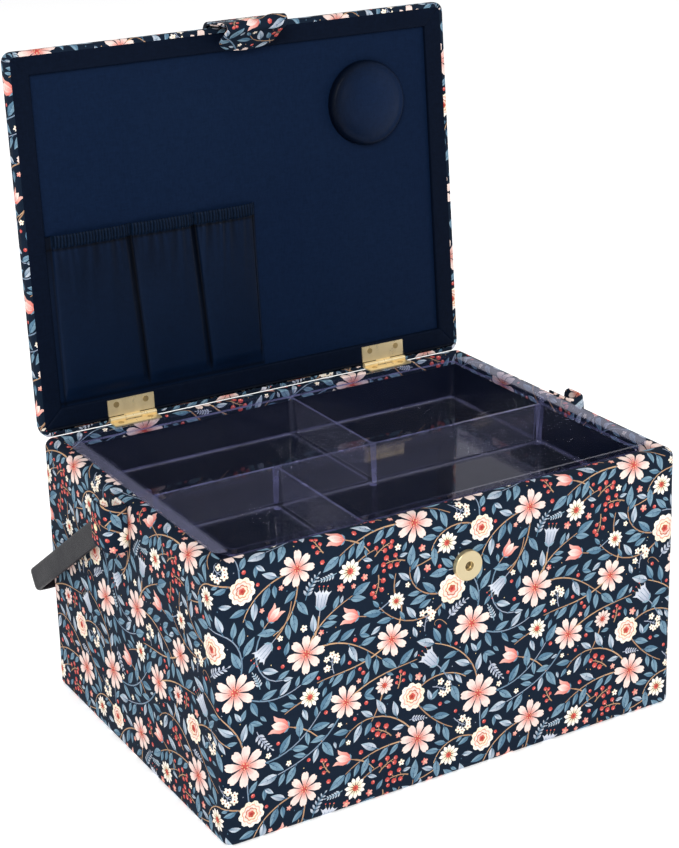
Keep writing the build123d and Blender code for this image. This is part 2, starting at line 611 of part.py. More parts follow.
# ================================================================ tray
with BuildPart() as tray:
    ym = (TRAY_Y0 + TRAY_Y1) / 2
    yl = TRAY_Y1 - TRAY_Y0
    with BuildSketch(Plane.XY.offset(TRAY_FLOOR - TRAY_FLOOR_T)):
        with Locations((0, ym)):
            RectangleRounded(2 * (TRAY_X + TRAY_T - TRAY_DRAFT), yl + 2 * (TRAY_T - TRAY_DRAFT), 5)
    with BuildSketch(Plane.XY.offset(TRAY_TOP)):
        with Locations((0, ym)):
            RectangleRounded(2 * (TRAY_X + TRAY_T), yl + 2 * TRAY_T, 5)
    loft()
    # hollow above the dividers
    dr = TRAY_DRAFT * (TRAY_TOP - DIV_TOP) / (TRAY_TOP - TRAY_FLOOR)
    with BuildSketch(Plane.XY.offset(DIV_TOP)):
        with Locations((0, ym)):
            RectangleRounded(2 * (TRAY_X - dr), yl - 2 * dr, 4)
    with BuildSketch(Plane.XY.offset(TRAY_TOP + 1)):
        with Locations((0, ym)):
            RectangleRounded(2 * (TRAY_X + dr / 4), yl + dr / 2, 4)
    loft(mode=Mode.SUBTRACT)
    # four compartments
    h2 = DIV_T / 2
    cells = (
        (-TRAY_X + dr, DIV_BACK_X - h2, DIV_Y + h2, TRAY_Y1 - dr),
        (DIV_BACK_X + h2, TRAY_X - dr, DIV_Y + h2, TRAY_Y1 - dr),
        (-TRAY_X + dr, DIV_FRONT_X - h2, TRAY_Y0 + dr, DIV_Y - h2),
        (DIV_FRONT_X + h2, TRAY_X - dr, TRAY_Y0 + dr, DIV_Y - h2),
    )
    wall_in = TRAY_DRAFT - dr
    for x0, x1, y0, y1 in cells:
        bx0 = x0 + (wall_in if x0 < -TRAY_X + 5 else 0.9)
        bx1 = x1 - (wall_in if x1 > TRAY_X - 5 else 0.9)
        by0 = y0 + (wall_in if y0 < TRAY_Y0 + 5 else 0.9)
        by1 = y1 - (wall_in if y1 > TRAY_Y1 - 5 else 0.9)
        with BuildSketch(Plane.XY.offset(TRAY_FLOOR)):
            with Locations(((bx0 + bx1) / 2, (by0 + by1) / 2)):
                RectangleRounded(bx1 - bx0, by1 - by0, 3)
        with BuildSketch(Plane.XY.offset(DIV_TOP)):
            with Locations(((x0 + x1) / 2, (y0 + y1) / 2)):
                RectangleRounded(x1 - x0, y1 - y0, 3)
        loft(mode=Mode.SUBTRACT)
    # rounded where the walls meet the floor
    floor_edges = [e for e in tray.edges() if abs(e.bounding_box().min.Z - TRAY_FLOOR) < 1e-3
                   and abs(e.bounding_box().max.Z - TRAY_FLOOR) < 1e-3]
    fillet(floor_edges, TRAY_FILLET)
    # side flanges that hang the tray on the rim
    for sx in (-1, 1):
        with BuildSketch(Plane.XY.offset(TRAY_TOP - FLANGE_T)):
            with BuildLine():
                FilletPolyline((sx * (TRAY_X + 0.6), FLANGE_Y0), (sx * FLANGE_X, FLANGE_Y0), (sx * FLANGE_X, FLANGE_Y1),
                               (sx * (TRAY_X + 0.6), FLANGE_Y1), radius=6)
                Line((sx * (TRAY_X + 0.6), FLANGE_Y1), (sx * (TRAY_X + 0.6), FLANGE_Y0))
            make_face()
        extrude(amount=FLANGE_T)
save(tray, "tray")

# ================================================================ handle
b = math.radians(ARM_DROP)
ARM = Plane(origin=(0, PIVOT_Y, PIVOT_Z), x_dir=(1, 0, 0), z_dir=(0, math.sin(b), math.cos(b)))
out_x = ARM_IN + STRAP_T
core_in = ARM_IN + (STRAP_T - CORE_T) / 2
core_out = core_in + CORE_T

with BuildPart() as handle_core:
    with BuildSketch(ARM.offset(-CORE_W / 2)):
        with BuildLine():
            FilletPolyline((-core_out, 8), (-core_out, ARM_L + CORE_T / 2), (core_out, ARM_L + CORE_T / 2),
                           (core_out, 8), radius=8.8)
            Line((core_out, 8), (core_in, 8))
            FilletPolyline((core_in, 8), (core_in, ARM_L - CORE_T / 2), (-core_in, ARM_L - CORE_T / 2),
                           (-core_in, 8), radius=6.2)
            Line((-core_in, 8), (-core_out, 8))
        make_face()
    extrude(amount=CORE_W)
save(handle_core, "handle_core")

with BuildPart() as handle_cover:
    with BuildSketch(ARM.offset(-STRAP_W / 2)):
        with BuildLine():
            FilletPolyline((-out_x, 0), (-out_x, ARM_L + STRAP_T / 2), (out_x, ARM_L + STRAP_T / 2),
                           (out_x, 0), radius=10)
            Line((out_x, 0), (ARM_IN, 0))
            FilletPolyline((ARM_IN, 0), (ARM_IN, ARM_L - STRAP_T / 2), (-ARM_IN, ARM_L - STRAP_T / 2),
                           (-ARM_IN, 0), radius=5)
            Line((-ARM_IN, 0), (-out_x, 0))
        make_face()
    extrude(amount=STRAP_W)
    for sx in (-1, 1):
        with BuildSketch(Plane.YZ.offset(sx * ARM_IN)):
            with Locations((PIVOT_Y, PIVOT_Z)):
                Circle(STRAP_W / 2)
        extrude(amount=sx * STRAP_T)
    add(handle_core.part, mode=Mode.SUBTRACT)
    with BuildSketch(Plane.YZ.offset(-200)):
        with Locations((PIVOT_Y, PIVOT_Z)):
            Circle(RIVET_R + RIVET_FIT)
    extrude(amount=400, mode=Mode.SUBTRACT)
save(handle_cover, "handle_cover")

for side, sx in (("left", -1), ("right", 1)):
    # fabric loop around the end of the strap, closed at the front
    with BuildPart() as handle_loop:
        with BuildSketch(Plane.XY.offset(LOOP_Z0)):
            with BuildLine():
                FilletPolyline((sx * W / 2, LOOP_Y1), (sx * W / 2, LOOP_Y0), (sx * LOOP_OUT, LOOP_Y0),
                               (sx * LOOP_OUT, LOOP_Y1), radius=(2.0, 9.0))
                Line((sx * LOOP_OUT, LOOP_Y1), (sx * (LOOP_OUT - LOOP_T), LOOP_Y1))
                FilletPolyline((sx * (LOOP_OUT - LOOP_T), LOOP_Y1), (sx * (LOOP_OUT - LOOP_T), LOOP_Y0 + LOOP_T),
                               (sx * (W / 2 + LOOP_T), LOOP_Y0 + LOOP_T), (sx * (W / 2 + LOOP_T), LOOP_Y1),
                               radius=(6.8, 1.0))
                Line((sx * (W / 2 + LOOP_T), LOOP_Y1), (sx * W / 2, LOOP_Y1))
            make_face()
        extrude(amount=LOOP_Z1 - LOOP_Z0)
        with BuildSketch(Plane.YZ.offset(-200)):
            with Locations((PIVOT_Y, PIVOT_Z)):
                Circle(RIVET_R)
        extrude(amount=400, mode=Mode.SUBTRACT)
    save(handle_loop, "handle_loop_" + side)

# shouldered rivets: closed head inside the wall, domed head outside the loop
with BuildPart() as handle_rivets:
    for sx in (-1, 1):
        with BuildSketch(Plane(origin=(0, PIVOT_Y, PIVOT_Z), x_dir=(sx, 0, 0), z_dir=(0, -1, 0))):
            with BuildLine():
                Polyline((INNER_X + 0.05, 0), (INNER_X + 0.05, 2.9), (INNER_X + 0.65, 2.9), (INNER_X + 0.65, RIVET_R),
                         (W / 2 + LOOP_T, RIVET_R), (W / 2 + LOOP_T, 3.2), (ARM_IN - 0.1, 3.2), (ARM_IN - 0.1, RIVET_R),
                         (LOOP_OUT, RIVET_R), (LOOP_OUT, 2.7), (LOOP_OUT + 0.7, 2.3), (LOOP_OUT + 1.2, 1.2),
                         (LOOP_OUT + 1.3, 0), close=True)
            make_face()
        revolve(axis=Axis((0, PIVOT_Y, PIVOT_Z), (1, 0, 0)))
save(handle_rivets, "handle_rivets")

with BuildPart() as handle_rivet_washers:
    for sx in (-1, 1):
        with BuildSketch(Plane.YZ.offset(sx * (INNER_X + 0.7))):
            with Locations((PIVOT_Y, PIVOT_Z)):
                Circle(4.9)
                Circle(RIVET_R + 0.05, mode=Mode.SUBTRACT)
        extrude(amount=sx * 0.8)
save(handle_rivet_washers, "handle_rivet_washers")
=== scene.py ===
import json
import math
import random

import bpy
import numpy as np
from mathutils import Matrix, Vector
from mathutils.geometry import delaunay_2d_cdt

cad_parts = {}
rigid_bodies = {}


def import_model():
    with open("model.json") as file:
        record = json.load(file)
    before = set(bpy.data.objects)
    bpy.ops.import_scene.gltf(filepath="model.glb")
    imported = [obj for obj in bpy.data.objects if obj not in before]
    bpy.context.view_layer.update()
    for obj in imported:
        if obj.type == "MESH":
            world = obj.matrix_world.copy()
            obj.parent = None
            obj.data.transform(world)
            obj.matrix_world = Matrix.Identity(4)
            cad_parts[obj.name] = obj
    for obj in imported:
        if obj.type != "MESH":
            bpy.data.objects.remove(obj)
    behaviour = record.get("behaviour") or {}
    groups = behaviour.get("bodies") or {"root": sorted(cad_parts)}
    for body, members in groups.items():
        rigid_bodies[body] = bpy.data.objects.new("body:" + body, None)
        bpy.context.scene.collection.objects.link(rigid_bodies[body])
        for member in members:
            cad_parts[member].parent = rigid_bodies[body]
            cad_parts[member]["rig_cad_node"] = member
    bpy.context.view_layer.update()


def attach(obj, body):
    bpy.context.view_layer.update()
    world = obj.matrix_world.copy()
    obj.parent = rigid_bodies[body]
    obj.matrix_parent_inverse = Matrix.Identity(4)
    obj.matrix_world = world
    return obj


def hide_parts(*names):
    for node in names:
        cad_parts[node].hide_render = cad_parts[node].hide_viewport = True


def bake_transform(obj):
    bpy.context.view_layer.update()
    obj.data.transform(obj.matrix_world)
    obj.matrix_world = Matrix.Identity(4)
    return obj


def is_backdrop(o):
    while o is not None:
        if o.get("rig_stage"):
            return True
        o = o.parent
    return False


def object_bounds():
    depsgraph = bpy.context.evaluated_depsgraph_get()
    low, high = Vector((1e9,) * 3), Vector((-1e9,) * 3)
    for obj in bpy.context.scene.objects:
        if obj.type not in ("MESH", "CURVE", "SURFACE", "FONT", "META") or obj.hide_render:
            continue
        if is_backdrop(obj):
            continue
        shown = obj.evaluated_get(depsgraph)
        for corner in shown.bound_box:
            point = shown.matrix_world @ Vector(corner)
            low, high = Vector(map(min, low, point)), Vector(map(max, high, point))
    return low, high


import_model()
MM = 0.001

# ---- the box's own sizes, in millimetres, as in the CAD model
W, D, H = 320.0, 240.0, 173.0
CORNER, RIM, FOOT = 6.5, 5.5, 3.0
LEAN = math.radians(3.9)
PIN_Y, PIN_Z = 118.0, 175.0
LID_W, LID_S0, LID_S1, LID_T = 320.0, -1.0, 243.0, 10.0
LID_SM = (LID_S0 + LID_S1) / 2
BAND, LIP = 14.0, 3.2
PANEL_I = -4.2


def lid_at(x, s, i):
    """a point of the lid in the row frame, in metres: across, along the lid from the hinge pin, and out of its inner face"""
    x, s, i = np.broadcast_arrays(x, s, i)
    return np.stack([x, PIN_Y + s * math.sin(LEAN) - i * math.cos(LEAN), PIN_Z + s * math.cos(LEAN) + i * math.sin(LEAN)], -1) * MM


NOISE = {}


def noise2(x, y, seed, scale):
    """smooth value noise from -1 to 1"""
    n = 64
    if seed not in NOISE:
        NOISE[seed] = np.random.RandomState(seed).uniform(-1, 1, (n, n))
    g = NOISE[seed]
    x, y = np.asarray(x, float) / scale, np.asarray(y, float) / scale
    x0, y0 = np.floor(x).astype(int), np.floor(y).astype(int)
    fx, fy = x - x0, y - y0
    fx, fy = fx * fx * (3 - 2 * fx), fy * fy * (3 - 2 * fy)
    a, b = g[x0 % n, y0 % n], g[(x0 + 1) % n, y0 % n]
    c, d = g[x0 % n, (y0 + 1) % n], g[(x0 + 1) % n, (y0 + 1) % n]
    return (a * (1 - fx) + b * fx) * (1 - fy) + (c * (1 - fx) + d * fx) * fy


def step(x, a, b):
    """smooth step from 0 at a to 1 at b"""
    t = np.clip((x - a) / (b - a), 0, 1)
    return t * t * (3 - 2 * t)


# ---------------------------------------------------------------- meshes
def new_mesh(name, points, faces, materials, smooth=True, face_mats=None, uv=None):
    me = bpy.data.meshes.new(name)
    me.from_pydata([tuple(p) for p in points], [], [tuple(int(i) for i in f) for f in faces])
    me.update()
    me.validate()
    for m in materials:
        me.materials.append(m)
    if smooth:
        me.polygons.foreach_set("use_smooth", [True] * len(me.polygons))
    if face_mats is not None:
        me.polygons.foreach_set("material_index", face_mats)
    if uv is not None:
        layer = me.uv_layers.new(name="cloth")
        loops = np.zeros(len(me.loops), int)
        me.loops.foreach_get("vertex_index", loops)
        layer.data.foreach_set("uv", np.asarray(uv, float)[loops].reshape(-1))
    ob = bpy.data.objects.new(name, me)
    bpy.context.scene.collection.objects.link(ob)
    return ob


def grid_faces(nu, nv, close_u=False, close_v=False, flip=False, start=0):
    """quads of a grid whose points run v fastest"""
    faces = []
    for i in range(nu if close_u else nu - 1):
        for j in range(nv if close_v else nv - 1):
            a, b = start + i * nv + j, start + ((i + 1) % nu) * nv + j
            c, d = start + ((i + 1) % nu) * nv + (j + 1) % nv, start + i * nv + (j + 1) % nv
            faces.append((a, d, c, b) if flip else (a, b, c, d))
    return faces


def shell_grid(name, top, under, nu, nv, materials, uv=None):
    """a closed sheet: a grid of points above, one below, and a rim round them"""
    t, b = top.reshape(-1, 3), under.reshape(-1, 3)
    n = len(t)
    faces = grid_faces(nu, nv) + grid_faces(nu, nv, flip=True, start=n)
    ring = [j for j in range(nv)] + [i * nv + nv - 1 for i in range(1, nu)] + [(nu - 1) * nv + j for j in range(nv - 2, -1, -1)] + [i * nv for i in range(nu - 2, 0, -1)]
    for k in range(len(ring)):
        p, q = ring[k], ring[(k + 1) % len(ring)]
        faces.append((q, p, p + n, q + n))
    return new_mesh(name, np.concatenate([t, b]), faces, materials, uv=None if uv is None else np.concatenate([uv, uv]))


# ---------------------------------------------------------------- materials
class Nodes:
    def __init__(self, name):
        self.m = bpy.data.materials.new(name)
        self.m.use_nodes = True
        self.t = self.m.node_tree
        self.t.nodes.clear()
        self.out = self.t.nodes.new("ShaderNodeOutputMaterial")

    def add(self, kind, **given):
        n = self.t.nodes.new("ShaderNode" + kind)
        for k, v in given.items():
            if k.startswith("_"):
                setattr(n, k[1:], v)
        return n

    def link(self, a, b):
        self.t.links.new(a, b)

    def noise(self, scale, detail=3.0, rough=0.55, coord=None, vector=None, stretch=None):
        n = self.add("TexNoise")
        n.inputs["Scale"].default_value = scale
        n.inputs["Detail"].default_value = detail
        n.inputs["Roughness"].default_value = rough
        v = vector if vector is not None else self.coord("Object")
        if stretch is not None:
            mp = self.add("Mapping")
            mp.inputs["Scale"].default_value = stretch
            self.link(v, mp.inputs["Vector"])
            v = mp.outputs["Vector"]
        self.link(v, n.inputs["Vector"])
        return n.outputs["Fac"]

    def coord(self, which="Object"):
        return self.add("TexCoord").outputs[which]

    def uv(self):
        n = self.add("UVMap")
        n.uv_map = "cloth"
        return n.outputs["UV"]

    def ramp(self, fac, stops):
        n = self.add("ValToRGB")
        cr = n.color_ramp
        while len(cr.elements) < len(stops):
            cr.elements.new(0.5)
        for e, (p, c) in zip(cr.elements, stops):
            e.position = p
            e.color = (*c, 1) if len(c) == 3 else c
        self.link(fac, n.inputs["Fac"])
        return n.outputs["Color"]

    def math(self, op, a, b=None, clamp=False):
        n = self.add("Math")
        n.operation = op
        n.use_clamp = clamp
        for i, v in enumerate((a, b)):
            if v is None:
                continue
            if isinstance(v, (int, float)):
                n.inputs[i].default_value = v
            else:
                self.link(v, n.inputs[i])
        return n.outputs[0]

    def mixc(self, fac, a, b, mode="MIX"):
        n = self.add("Mix")
        n.data_type = "RGBA"
        n.blend_type = mode
        for sock, v in ((n.inputs[0], fac), (n.inputs[6], a), (n.inputs[7], b)):
            if isinstance(v, (int, float)):
                sock.default_value = v
            elif isinstance(v, tuple):
                sock.default_value = (*v, 1) if len(v) == 3 else v
            else:
                self.link(v, sock)
        return n.outputs[2]

    def bump(self, height, strength, distance, normal=None):
        n = self.add("Bump")
        n.inputs["Strength"].default_value = strength
        n.inputs["Distance"].default_value = distance
        self.link(height, n.inputs["Height"])
        if normal is not None:
            self.link(normal, n.inputs["Normal"])
        return n.outputs["Normal"]

    def principled(self, color=None, rough=0.5, metal=0.0, normal=None, spec=0.5, sheen=0.0, sheen_rough=0.4, sheen_tint=None, coat=0.0, coat_rough=0.1, aniso=0.0, ior=1.45):
        n = self.add("BsdfPrincipled")
        if isinstance(color, tuple):
            n.inputs["Base Color"].default_value = (*color, 1)
        elif color is not None:
            self.link(color, n.inputs["Base Color"])
        if isinstance(rough, (int, float)):
            n.inputs["Roughness"].default_value = rough
        else:
            self.link(rough, n.inputs["Roughness"])
        n.inputs["Metallic"].default_value = metal
        n.inputs["Specular IOR Level"].default_value = spec
        n.inputs["IOR"].default_value = ior
        n.inputs["Sheen Weight"].default_value = sheen
        n.inputs["Sheen Roughness"].default_value = sheen_rough
        if sheen_tint:
            n.inputs["Sheen Tint"].default_value = (*sheen_tint, 1)
        n.inputs["Coat Weight"].default_value = coat
        n.inputs["Coat Roughness"].default_value = coat_rough
        n.inputs["Anisotropic"].default_value = aniso
        if normal is not None:
            self.link(normal, n.inputs["Normal"])
        return n

    def done(self, shader):
        self.link(shader.outputs[0] if hasattr(shader, "outputs") else shader, self.out.inputs["Surface"])
        return self.m


def weave(n, pitch, uv):
    """height of a plain weave, threads of that pitch in metres"""
    sep = n.add("SeparateXYZ")
    n.link(uv, sep.inputs[0])
    u = n.math("SINE", n.math("MULTIPLY", sep.outputs[0], 2 * math.pi / pitch))
    v = n.math("SINE", n.math("MULTIPLY", sep.outputs[1], 2 * math.pi / pitch))
    return n.math("ADD", n.math("MULTIPLY", n.math("ABSOLUTE", u), 0.5), n.math("MULTIPLY", n.math("ABSOLUTE", v), 0.5))


def printed_cotton():
    n = Nodes("printed_cotton")
    at = n.add("Attribute")
    at.attribute_name = "ink"
    uv = n.uv()
    slub = n.noise(420, 3, 0.6, vector=uv, stretch=(1, 0.35, 1))
    slub2 = n.noise(420, 3, 0.6, vector=uv, stretch=(0.35, 1, 1))
    slubs = n.math("MULTIPLY", n.math("ADD", slub, slub2), 0.5)
    col = n.mixc(1.0, at.outputs["Color"], n.ramp(slubs, ((0.3, (0.82, 0.83, 0.86)), (0.7, (1.1, 1.09, 1.07)))), "MULTIPLY")
    wide = n.noise(14, 2, 0.5)
    col = n.mixc(1.0, col, n.ramp(wide, ((0.3, (0.95, 0.95, 0.96)), (0.7, (1.03, 1.03, 1.02)))), "MULTIPLY")
    w = weave(n, 0.00062, uv)
    b = n.bump(w, 0.25, 0.00012)
    b = n.bump(slubs, 0.3, 0.0003, b)
    return n.done(n.principled(col, 0.85, normal=b, spec=0.16))


def satin(name, base, light, rough=0.42, spec=0.4, sheen=0.35, dark=0.8, bump=0.35, shaded=False):
    """smooth navy lining cloth with a fine twill and soft creases"""
    n = Nodes(name)
    c = n.coord("Object")
    wide = n.noise(9, 3, 0.5, vector=c)
    fine = n.noise(900, 2, 0.6, vector=c, stretch=(1, 1, 0.25))
    fine2 = n.noise(900, 2, 0.6, vector=c, stretch=(0.25, 1, 1))
    f = n.math("MULTIPLY", n.math("ADD", fine, fine2), 0.5)
    col = n.mixc(n.ramp(wide, ((0.32, (0, 0, 0)), (0.7, (1, 1, 1)))), base, light)
    col = n.mixc(1.0, col, n.ramp(f, ((0.35, (dark, dark, dark)), (0.65, (1.12, 1.12, 1.12)))), "MULTIPLY")
    # painted light and shade: the colour is multiplied by the mesh's shade attribute
    if shaded:
        at = n.add("Attribute")
        at.attribute_name = "shade"
        col = n.mixc(1.0, col, at.outputs["Color"], "MULTIPLY")
    cre = n.noise(38, 4, 0.55, vector=c)
    b = n.bump(f, 0.25, 0.0002)
    b = n.bump(cre, bump, 0.0012, b)
    r = n.ramp(f, ((0.3, (rough + 0.08,) * 3), (0.7, (rough - 0.04,) * 3)))
    return n.done(n.principled(col, r, normal=b, spec=spec, sheen=sheen, sheen_rough=0.35, sheen_tint=(0.45, 0.6, 1.0)))


def brass(name, color, dark, rough=0.24, brushed=None, wear=0.5, metal=1.0, socket=None):
    n = Nodes(name)
    c = n.coord("Object")
    st = n.noise(300, 3, 0.6, vector=c, stretch=brushed or (1, 1, 1))
    blot = n.noise(60, 4, 0.6, vector=c)
    col = n.mixc(n.ramp(blot, ((0.35, (0, 0, 0)), (0.75, (wear,) * 3))), color, dark)
    if socket:                       # painted shade darkens the inside of the socket's hole, and painted highlights brighten its pressed edge
        sep = n.add("SeparateXYZ")
        n.link(c, sep.inputs[0])
        dx = n.math("SUBTRACT", sep.outputs[0], socket[0] * MM)
        dz = n.math("SUBTRACT", sep.outputs[2], socket[1] * MM)
        rad = n.math("SQRT", n.math("ADD", n.math("MULTIPLY", dx, dx), n.math("MULTIPLY", dz, dz)))
        col = n.mixc(1.0, col, n.ramp(n.math("DIVIDE", rad, 0.010), ((0.0, (0.22, 0.2, 0.18)), (0.24, (0.2, 0.18, 0.16)), (0.30, (1.25, 1.22, 1.15)), (0.36, (1, 1, 1)),
                                                                     (0.84, (1, 1, 1)), (0.9, (1.2, 1.18, 1.12)))), "MULTIPLY")
    r = n.ramp(st, ((0.3, (rough - 0.04,) * 3), (0.7, (rough + 0.06,) * 3)))
    b = n.bump(st, 0.05, 0.00005)
    return n.done(n.principled(col, r, metal, b))


def leatherette():
    n = Nodes("leatherette_grey")
    c = n.coord("Object")
    cell = n.add("TexVoronoi")
    cell.feature = "DISTANCE_TO_EDGE"
    cell.inputs["Scale"].default_value = 780
    n.link(c, cell.inputs["Vector"])
    grain = n.ramp(cell.outputs["Distance"], ((0.0, (0, 0, 0)), (0.22, (1, 1, 1))))
    wide = n.noise(35, 3, 0.5, vector=c)
    col = n.mixc(n.ramp(wide, ((0.3, (0, 0, 0)), (0.72, (1, 1, 1)))), (0.010, 0.010, 0.014), (0.017, 0.017, 0.022))
    col = n.mixc(1.0, col, n.ramp(cell.outputs["Distance"], ((0.0, (0.7, 0.7, 0.7)), (0.2, (1.05, 1.05, 1.05)))), "MULTIPLY")
    b = n.bump(grain, 0.4, 0.00016)
    cre = n.noise(90, 3, 0.6, vector=c, stretch=(1, 0.3, 1))
    b = n.bump(cre, 0.25, 0.0006, b)
    r = n.ramp(wide, ((0.3, (0.4, 0.4, 0.4)), (0.7, (0.52, 0.52, 0.52))))
    return n.done(n.principled(col, r, normal=b, spec=0.12))


def plain(name, base, other, rough, scale=60, bump=0.3, dist=0.0004, spec=0.4, metal=0.0, stretch=None):
    n = Nodes(name)
    c = n.coord("Object")
    f = n.noise(scale, 4, 0.6, vector=c, stretch=stretch)
    col = n.mixc(n.ramp(f, ((0.3, (0, 0, 0)), (0.7, (1, 1, 1)))), base, other)
    return n.done(n.principled(col, rough, metal, n.bump(f, bump, dist), spec=spec))


def clear_plastic(name, tint, haze_color, painted_edge_light_color):
    """thin clear moulding: lets light through with a violet tint, shines where it is seen edge on, and has painted
    highlights along its edges
    """
    n = Nodes(name)
    c = n.coord("Object")
    sep = n.add("SeparateXYZ")
    n.link(c, sep.inputs[0])
    x, y, z = sep.outputs

    def near(value, at, wide):
        return n.math("SUBTRACT", 1.0, n.math("DIVIDE", n.math("ABSOLUTE", n.math("SUBTRACT", value, at)), wide, True), True)
    # painted edge highlights: on the tops of the dividers, the rim, the foot of every wall, and the upright corners of
    # the dividers
    top = n.math("GREATER_THAN", near(z, 0.1710, 0.0004), 0.2)
    rim = n.math("MULTIPLY", n.math("GREATER_THAN", near(z, 0.1751, 0.0003), 0.2), 0.10)
    foot = n.math("MULTIPLY", near(z, 0.1458, 0.0009), 0.50)
    across = n.math("MULTIPLY", near(y, -0.0033, 0.0034), n.math("MAXIMUM", near(x, 0.012, 0.0034), near(x, -0.057, 0.0034)))
    posts = n.math("MULTIPLY", n.math("GREATER_THAN", across, 0.25), 0.75)
    ends = n.math("MULTIPLY", near(y, -0.0033, 0.0024), n.math("GREATER_THAN", n.math("ABSOLUTE", x), 0.1375))
    ends = n.math("MULTIPLY", n.math("GREATER_THAN", ends, 0.2), 0.6)
    edge = n.math("MAXIMUM", n.math("MAXIMUM", n.math("MULTIPLY", top, 0.8), rim), n.math("MAXIMUM", foot, n.math("MAXIMUM", posts, ends)))
    flow = n.noise(60, 3, 0.5, vector=c)
    edge = n.math("MULTIPLY", edge, n.ramp(flow, ((0.35, (0.45, 0.45, 0.45)), (0.65, (1, 1, 1)))))
    clear = n.add("BsdfTransparent")
    clear.inputs["Color"].default_value = (*tint, 1)
    shine = n.add("BsdfGlossy")
    shine.inputs["Roughness"].default_value = 0.06
    shine.inputs["Color"].default_value = (0.95, 0.95, 1.0, 1)
    fr = n.add("Fresnel")
    fr.inputs["IOR"].default_value = 1.5
    geo = n.add("NewGeometry")
    face = n.math("SUBTRACT", 1.0, geo.outputs["Backfacing"])
    gloss = n.math("MULTIPLY", fr.outputs[0], face)
    dif = n.add("BsdfDiffuse")
    dif.inputs["Color"].default_value = (*haze_color, 1)
    scr = n.noise(140, 5, 0.7, vector=c, stretch=(1, 0.2, 1))
    flat = n.math("GREATER_THAN", z, 0.1731)
    out = n.math("MAXIMUM", n.math("GREATER_THAN", n.math("ABSOLUTE", x), 0.1440), 0.0)
    wall = n.math("MULTIPLY", n.math("GREATER_THAN", near(y, -0.0033, 0.0018), 0.01), n.math("LESS_THAN", n.math("ABSOLUTE", x), 0.139))
    back_half = n.math("GREATER_THAN", y, -0.003)
    cross = n.math("MULTIPLY", n.math("GREATER_THAN", near(x, 0.012, 0.0018), 0.01), back_half)
    cross2 = n.math("MULTIPLY", n.math("GREATER_THAN", near(x, -0.057, 0.0018), 0.01), n.math("SUBTRACT", 1.0, back_half))
    walls = n.math("MULTIPLY", n.math("MAXIMUM", wall, n.math("MAXIMUM", cross, cross2)), 0.036)
    hz = n.math("ADD", n.math("MULTIPLY", n.ramp(scr, ((0.5, (0.4, 0.4, 0.4)), (0.72, (1, 1, 1)))), 0.012), n.math("MULTIPLY", n.math("MULTIPLY", flat, out), 0.14))
    hz = n.math("ADD", hz, walls)
    m0 = n.add("MixShader")
    n.link(hz, m0.inputs[0])
    n.link(clear.outputs[0], m0.inputs[1])
    n.link(dif.outputs[0], m0.inputs[2])
    # painted highlight: a diffuse violet mixed in over the clear plastic along the edges
    painted_edge_glow = n.add("BsdfDiffuse")
    painted_edge_glow.inputs["Color"].default_value = (*painted_edge_light_color, 1)
    me = n.add("MixShader")
    n.link(edge, me.inputs[0])
    n.link(m0.outputs[0], me.inputs[1])
    n.link(painted_edge_glow.outputs[0], me.inputs[2])
    m1 = n.add("MixShader")
    n.link(gloss, m1.inputs[0])
    n.link(me.outputs[0], m1.inputs[1])
    n.link(shine.outputs[0], m1.inputs[2])
    return n.done(m1)


COTTON = printed_cotton()
SATIN = satin("satin_navy", (0.0016, 0.0050, 0.0160), (0.0022, 0.0064, 0.0190), 0.45, 0.12, 0.0)
SATIN_PANEL = satin("satin_panel", (0.0034, 0.0100, 0.0310), (0.0042, 0.0116, 0.0340), 0.5, 0.03, 0.0, 0.86, 0.2)
SATIN_BAND = satin("satin_band", (0.0024, 0.0052, 0.0140), (0.0030, 0.0062, 0.0160), 0.5, 0.03, 0.0)
SATIN_POCKET = satin("satin_pocket", (0.0014, 0.0058, 0.0190), (0.0020, 0.0070, 0.0215), 0.38, 0.07, 0.0, 0.86, 0.25, True)
SATIN_CUSHION = satin("satin_cushion", (0.0038, 0.0112, 0.0350), (0.0044, 0.0126, 0.0380), 0.42, 0.06, 0.0, 0.86, 0.15, True)
ELASTIC = satin("elastic_navy", (0.0020, 0.0078, 0.0220), (0.0028, 0.0092, 0.0250), 0.45, 0.06, 0.0, 0.86, 0.2, True)
GOLD = brass("brass_plate", (0.96, 0.79, 0.47), (0.78, 0.60, 0.31), 0.30, (1, 0.2, 0.2), 0.35, 0.68)
# the last pair centres the painted shade and highlights of the socket
SNAP_GOLD = brass("snap_pale_gold", (0.60, 0.50, 0.31), (0.50, 0.41, 0.24), 0.34, (0.15, 1, 1), 0.5, 0.72, (3.5, 135.0))
SCREW = brass("screw_brass", (0.62, 0.45, 0.20), (0.36, 0.25, 0.11), 0.3, (1, 1, 1), 0.7, 0.75)
STEEL = brass("zinc_steel", (0.55, 0.56, 0.58), (0.4, 0.41, 0.43), 0.35)
LEATHER = leatherette()
RAIL = plain("rail_dark", (0.004, 0.006, 0.012), (0.006, 0.009, 0.017), 0.8, 220, spec=0.1)
BOARD = plain("fibreboard", (0.34, 0.23, 0.13), (0.26, 0.17, 0.09), 0.85, 220)
WADDING = plain("wadding_white", (0.75, 0.75, 0.72), (0.62, 0.62, 0.6), 0.95, 500, 0.8, 0.001, 0.1)
BASE_CLOTH = plain("base_cloth_dark", (0.010, 0.011, 0.018), (0.018, 0.019, 0.028), 0.9, 700, 0.6, 0.0005, 0.15)
CORE = plain("core_grey", (0.05, 0.05, 0.05), (0.03, 0.03, 0.03), 0.5, 100)
# the last colour is the painted highlight along the tray's edges
CLEAR = clear_plastic("clear_violet", (0.90, 0.90, 0.955), (0.42, 0.43, 0.60), (0.14, 0.145, 0.29))


# ---- printed cotton: one repeat of a small scattered flower print, in millimetres
TILE_W, TILE_H = 158.0, 138.0


def lin(hexa):
    """sRGB hex to linear"""
    c = [int(hexa[i:i + 2], 16) / 255 for i in (0, 2, 4)]
    return tuple(v / 12.92 if v <= 0.04045 else ((v + 0.055) / 1.055) ** 2.4 for v in c)


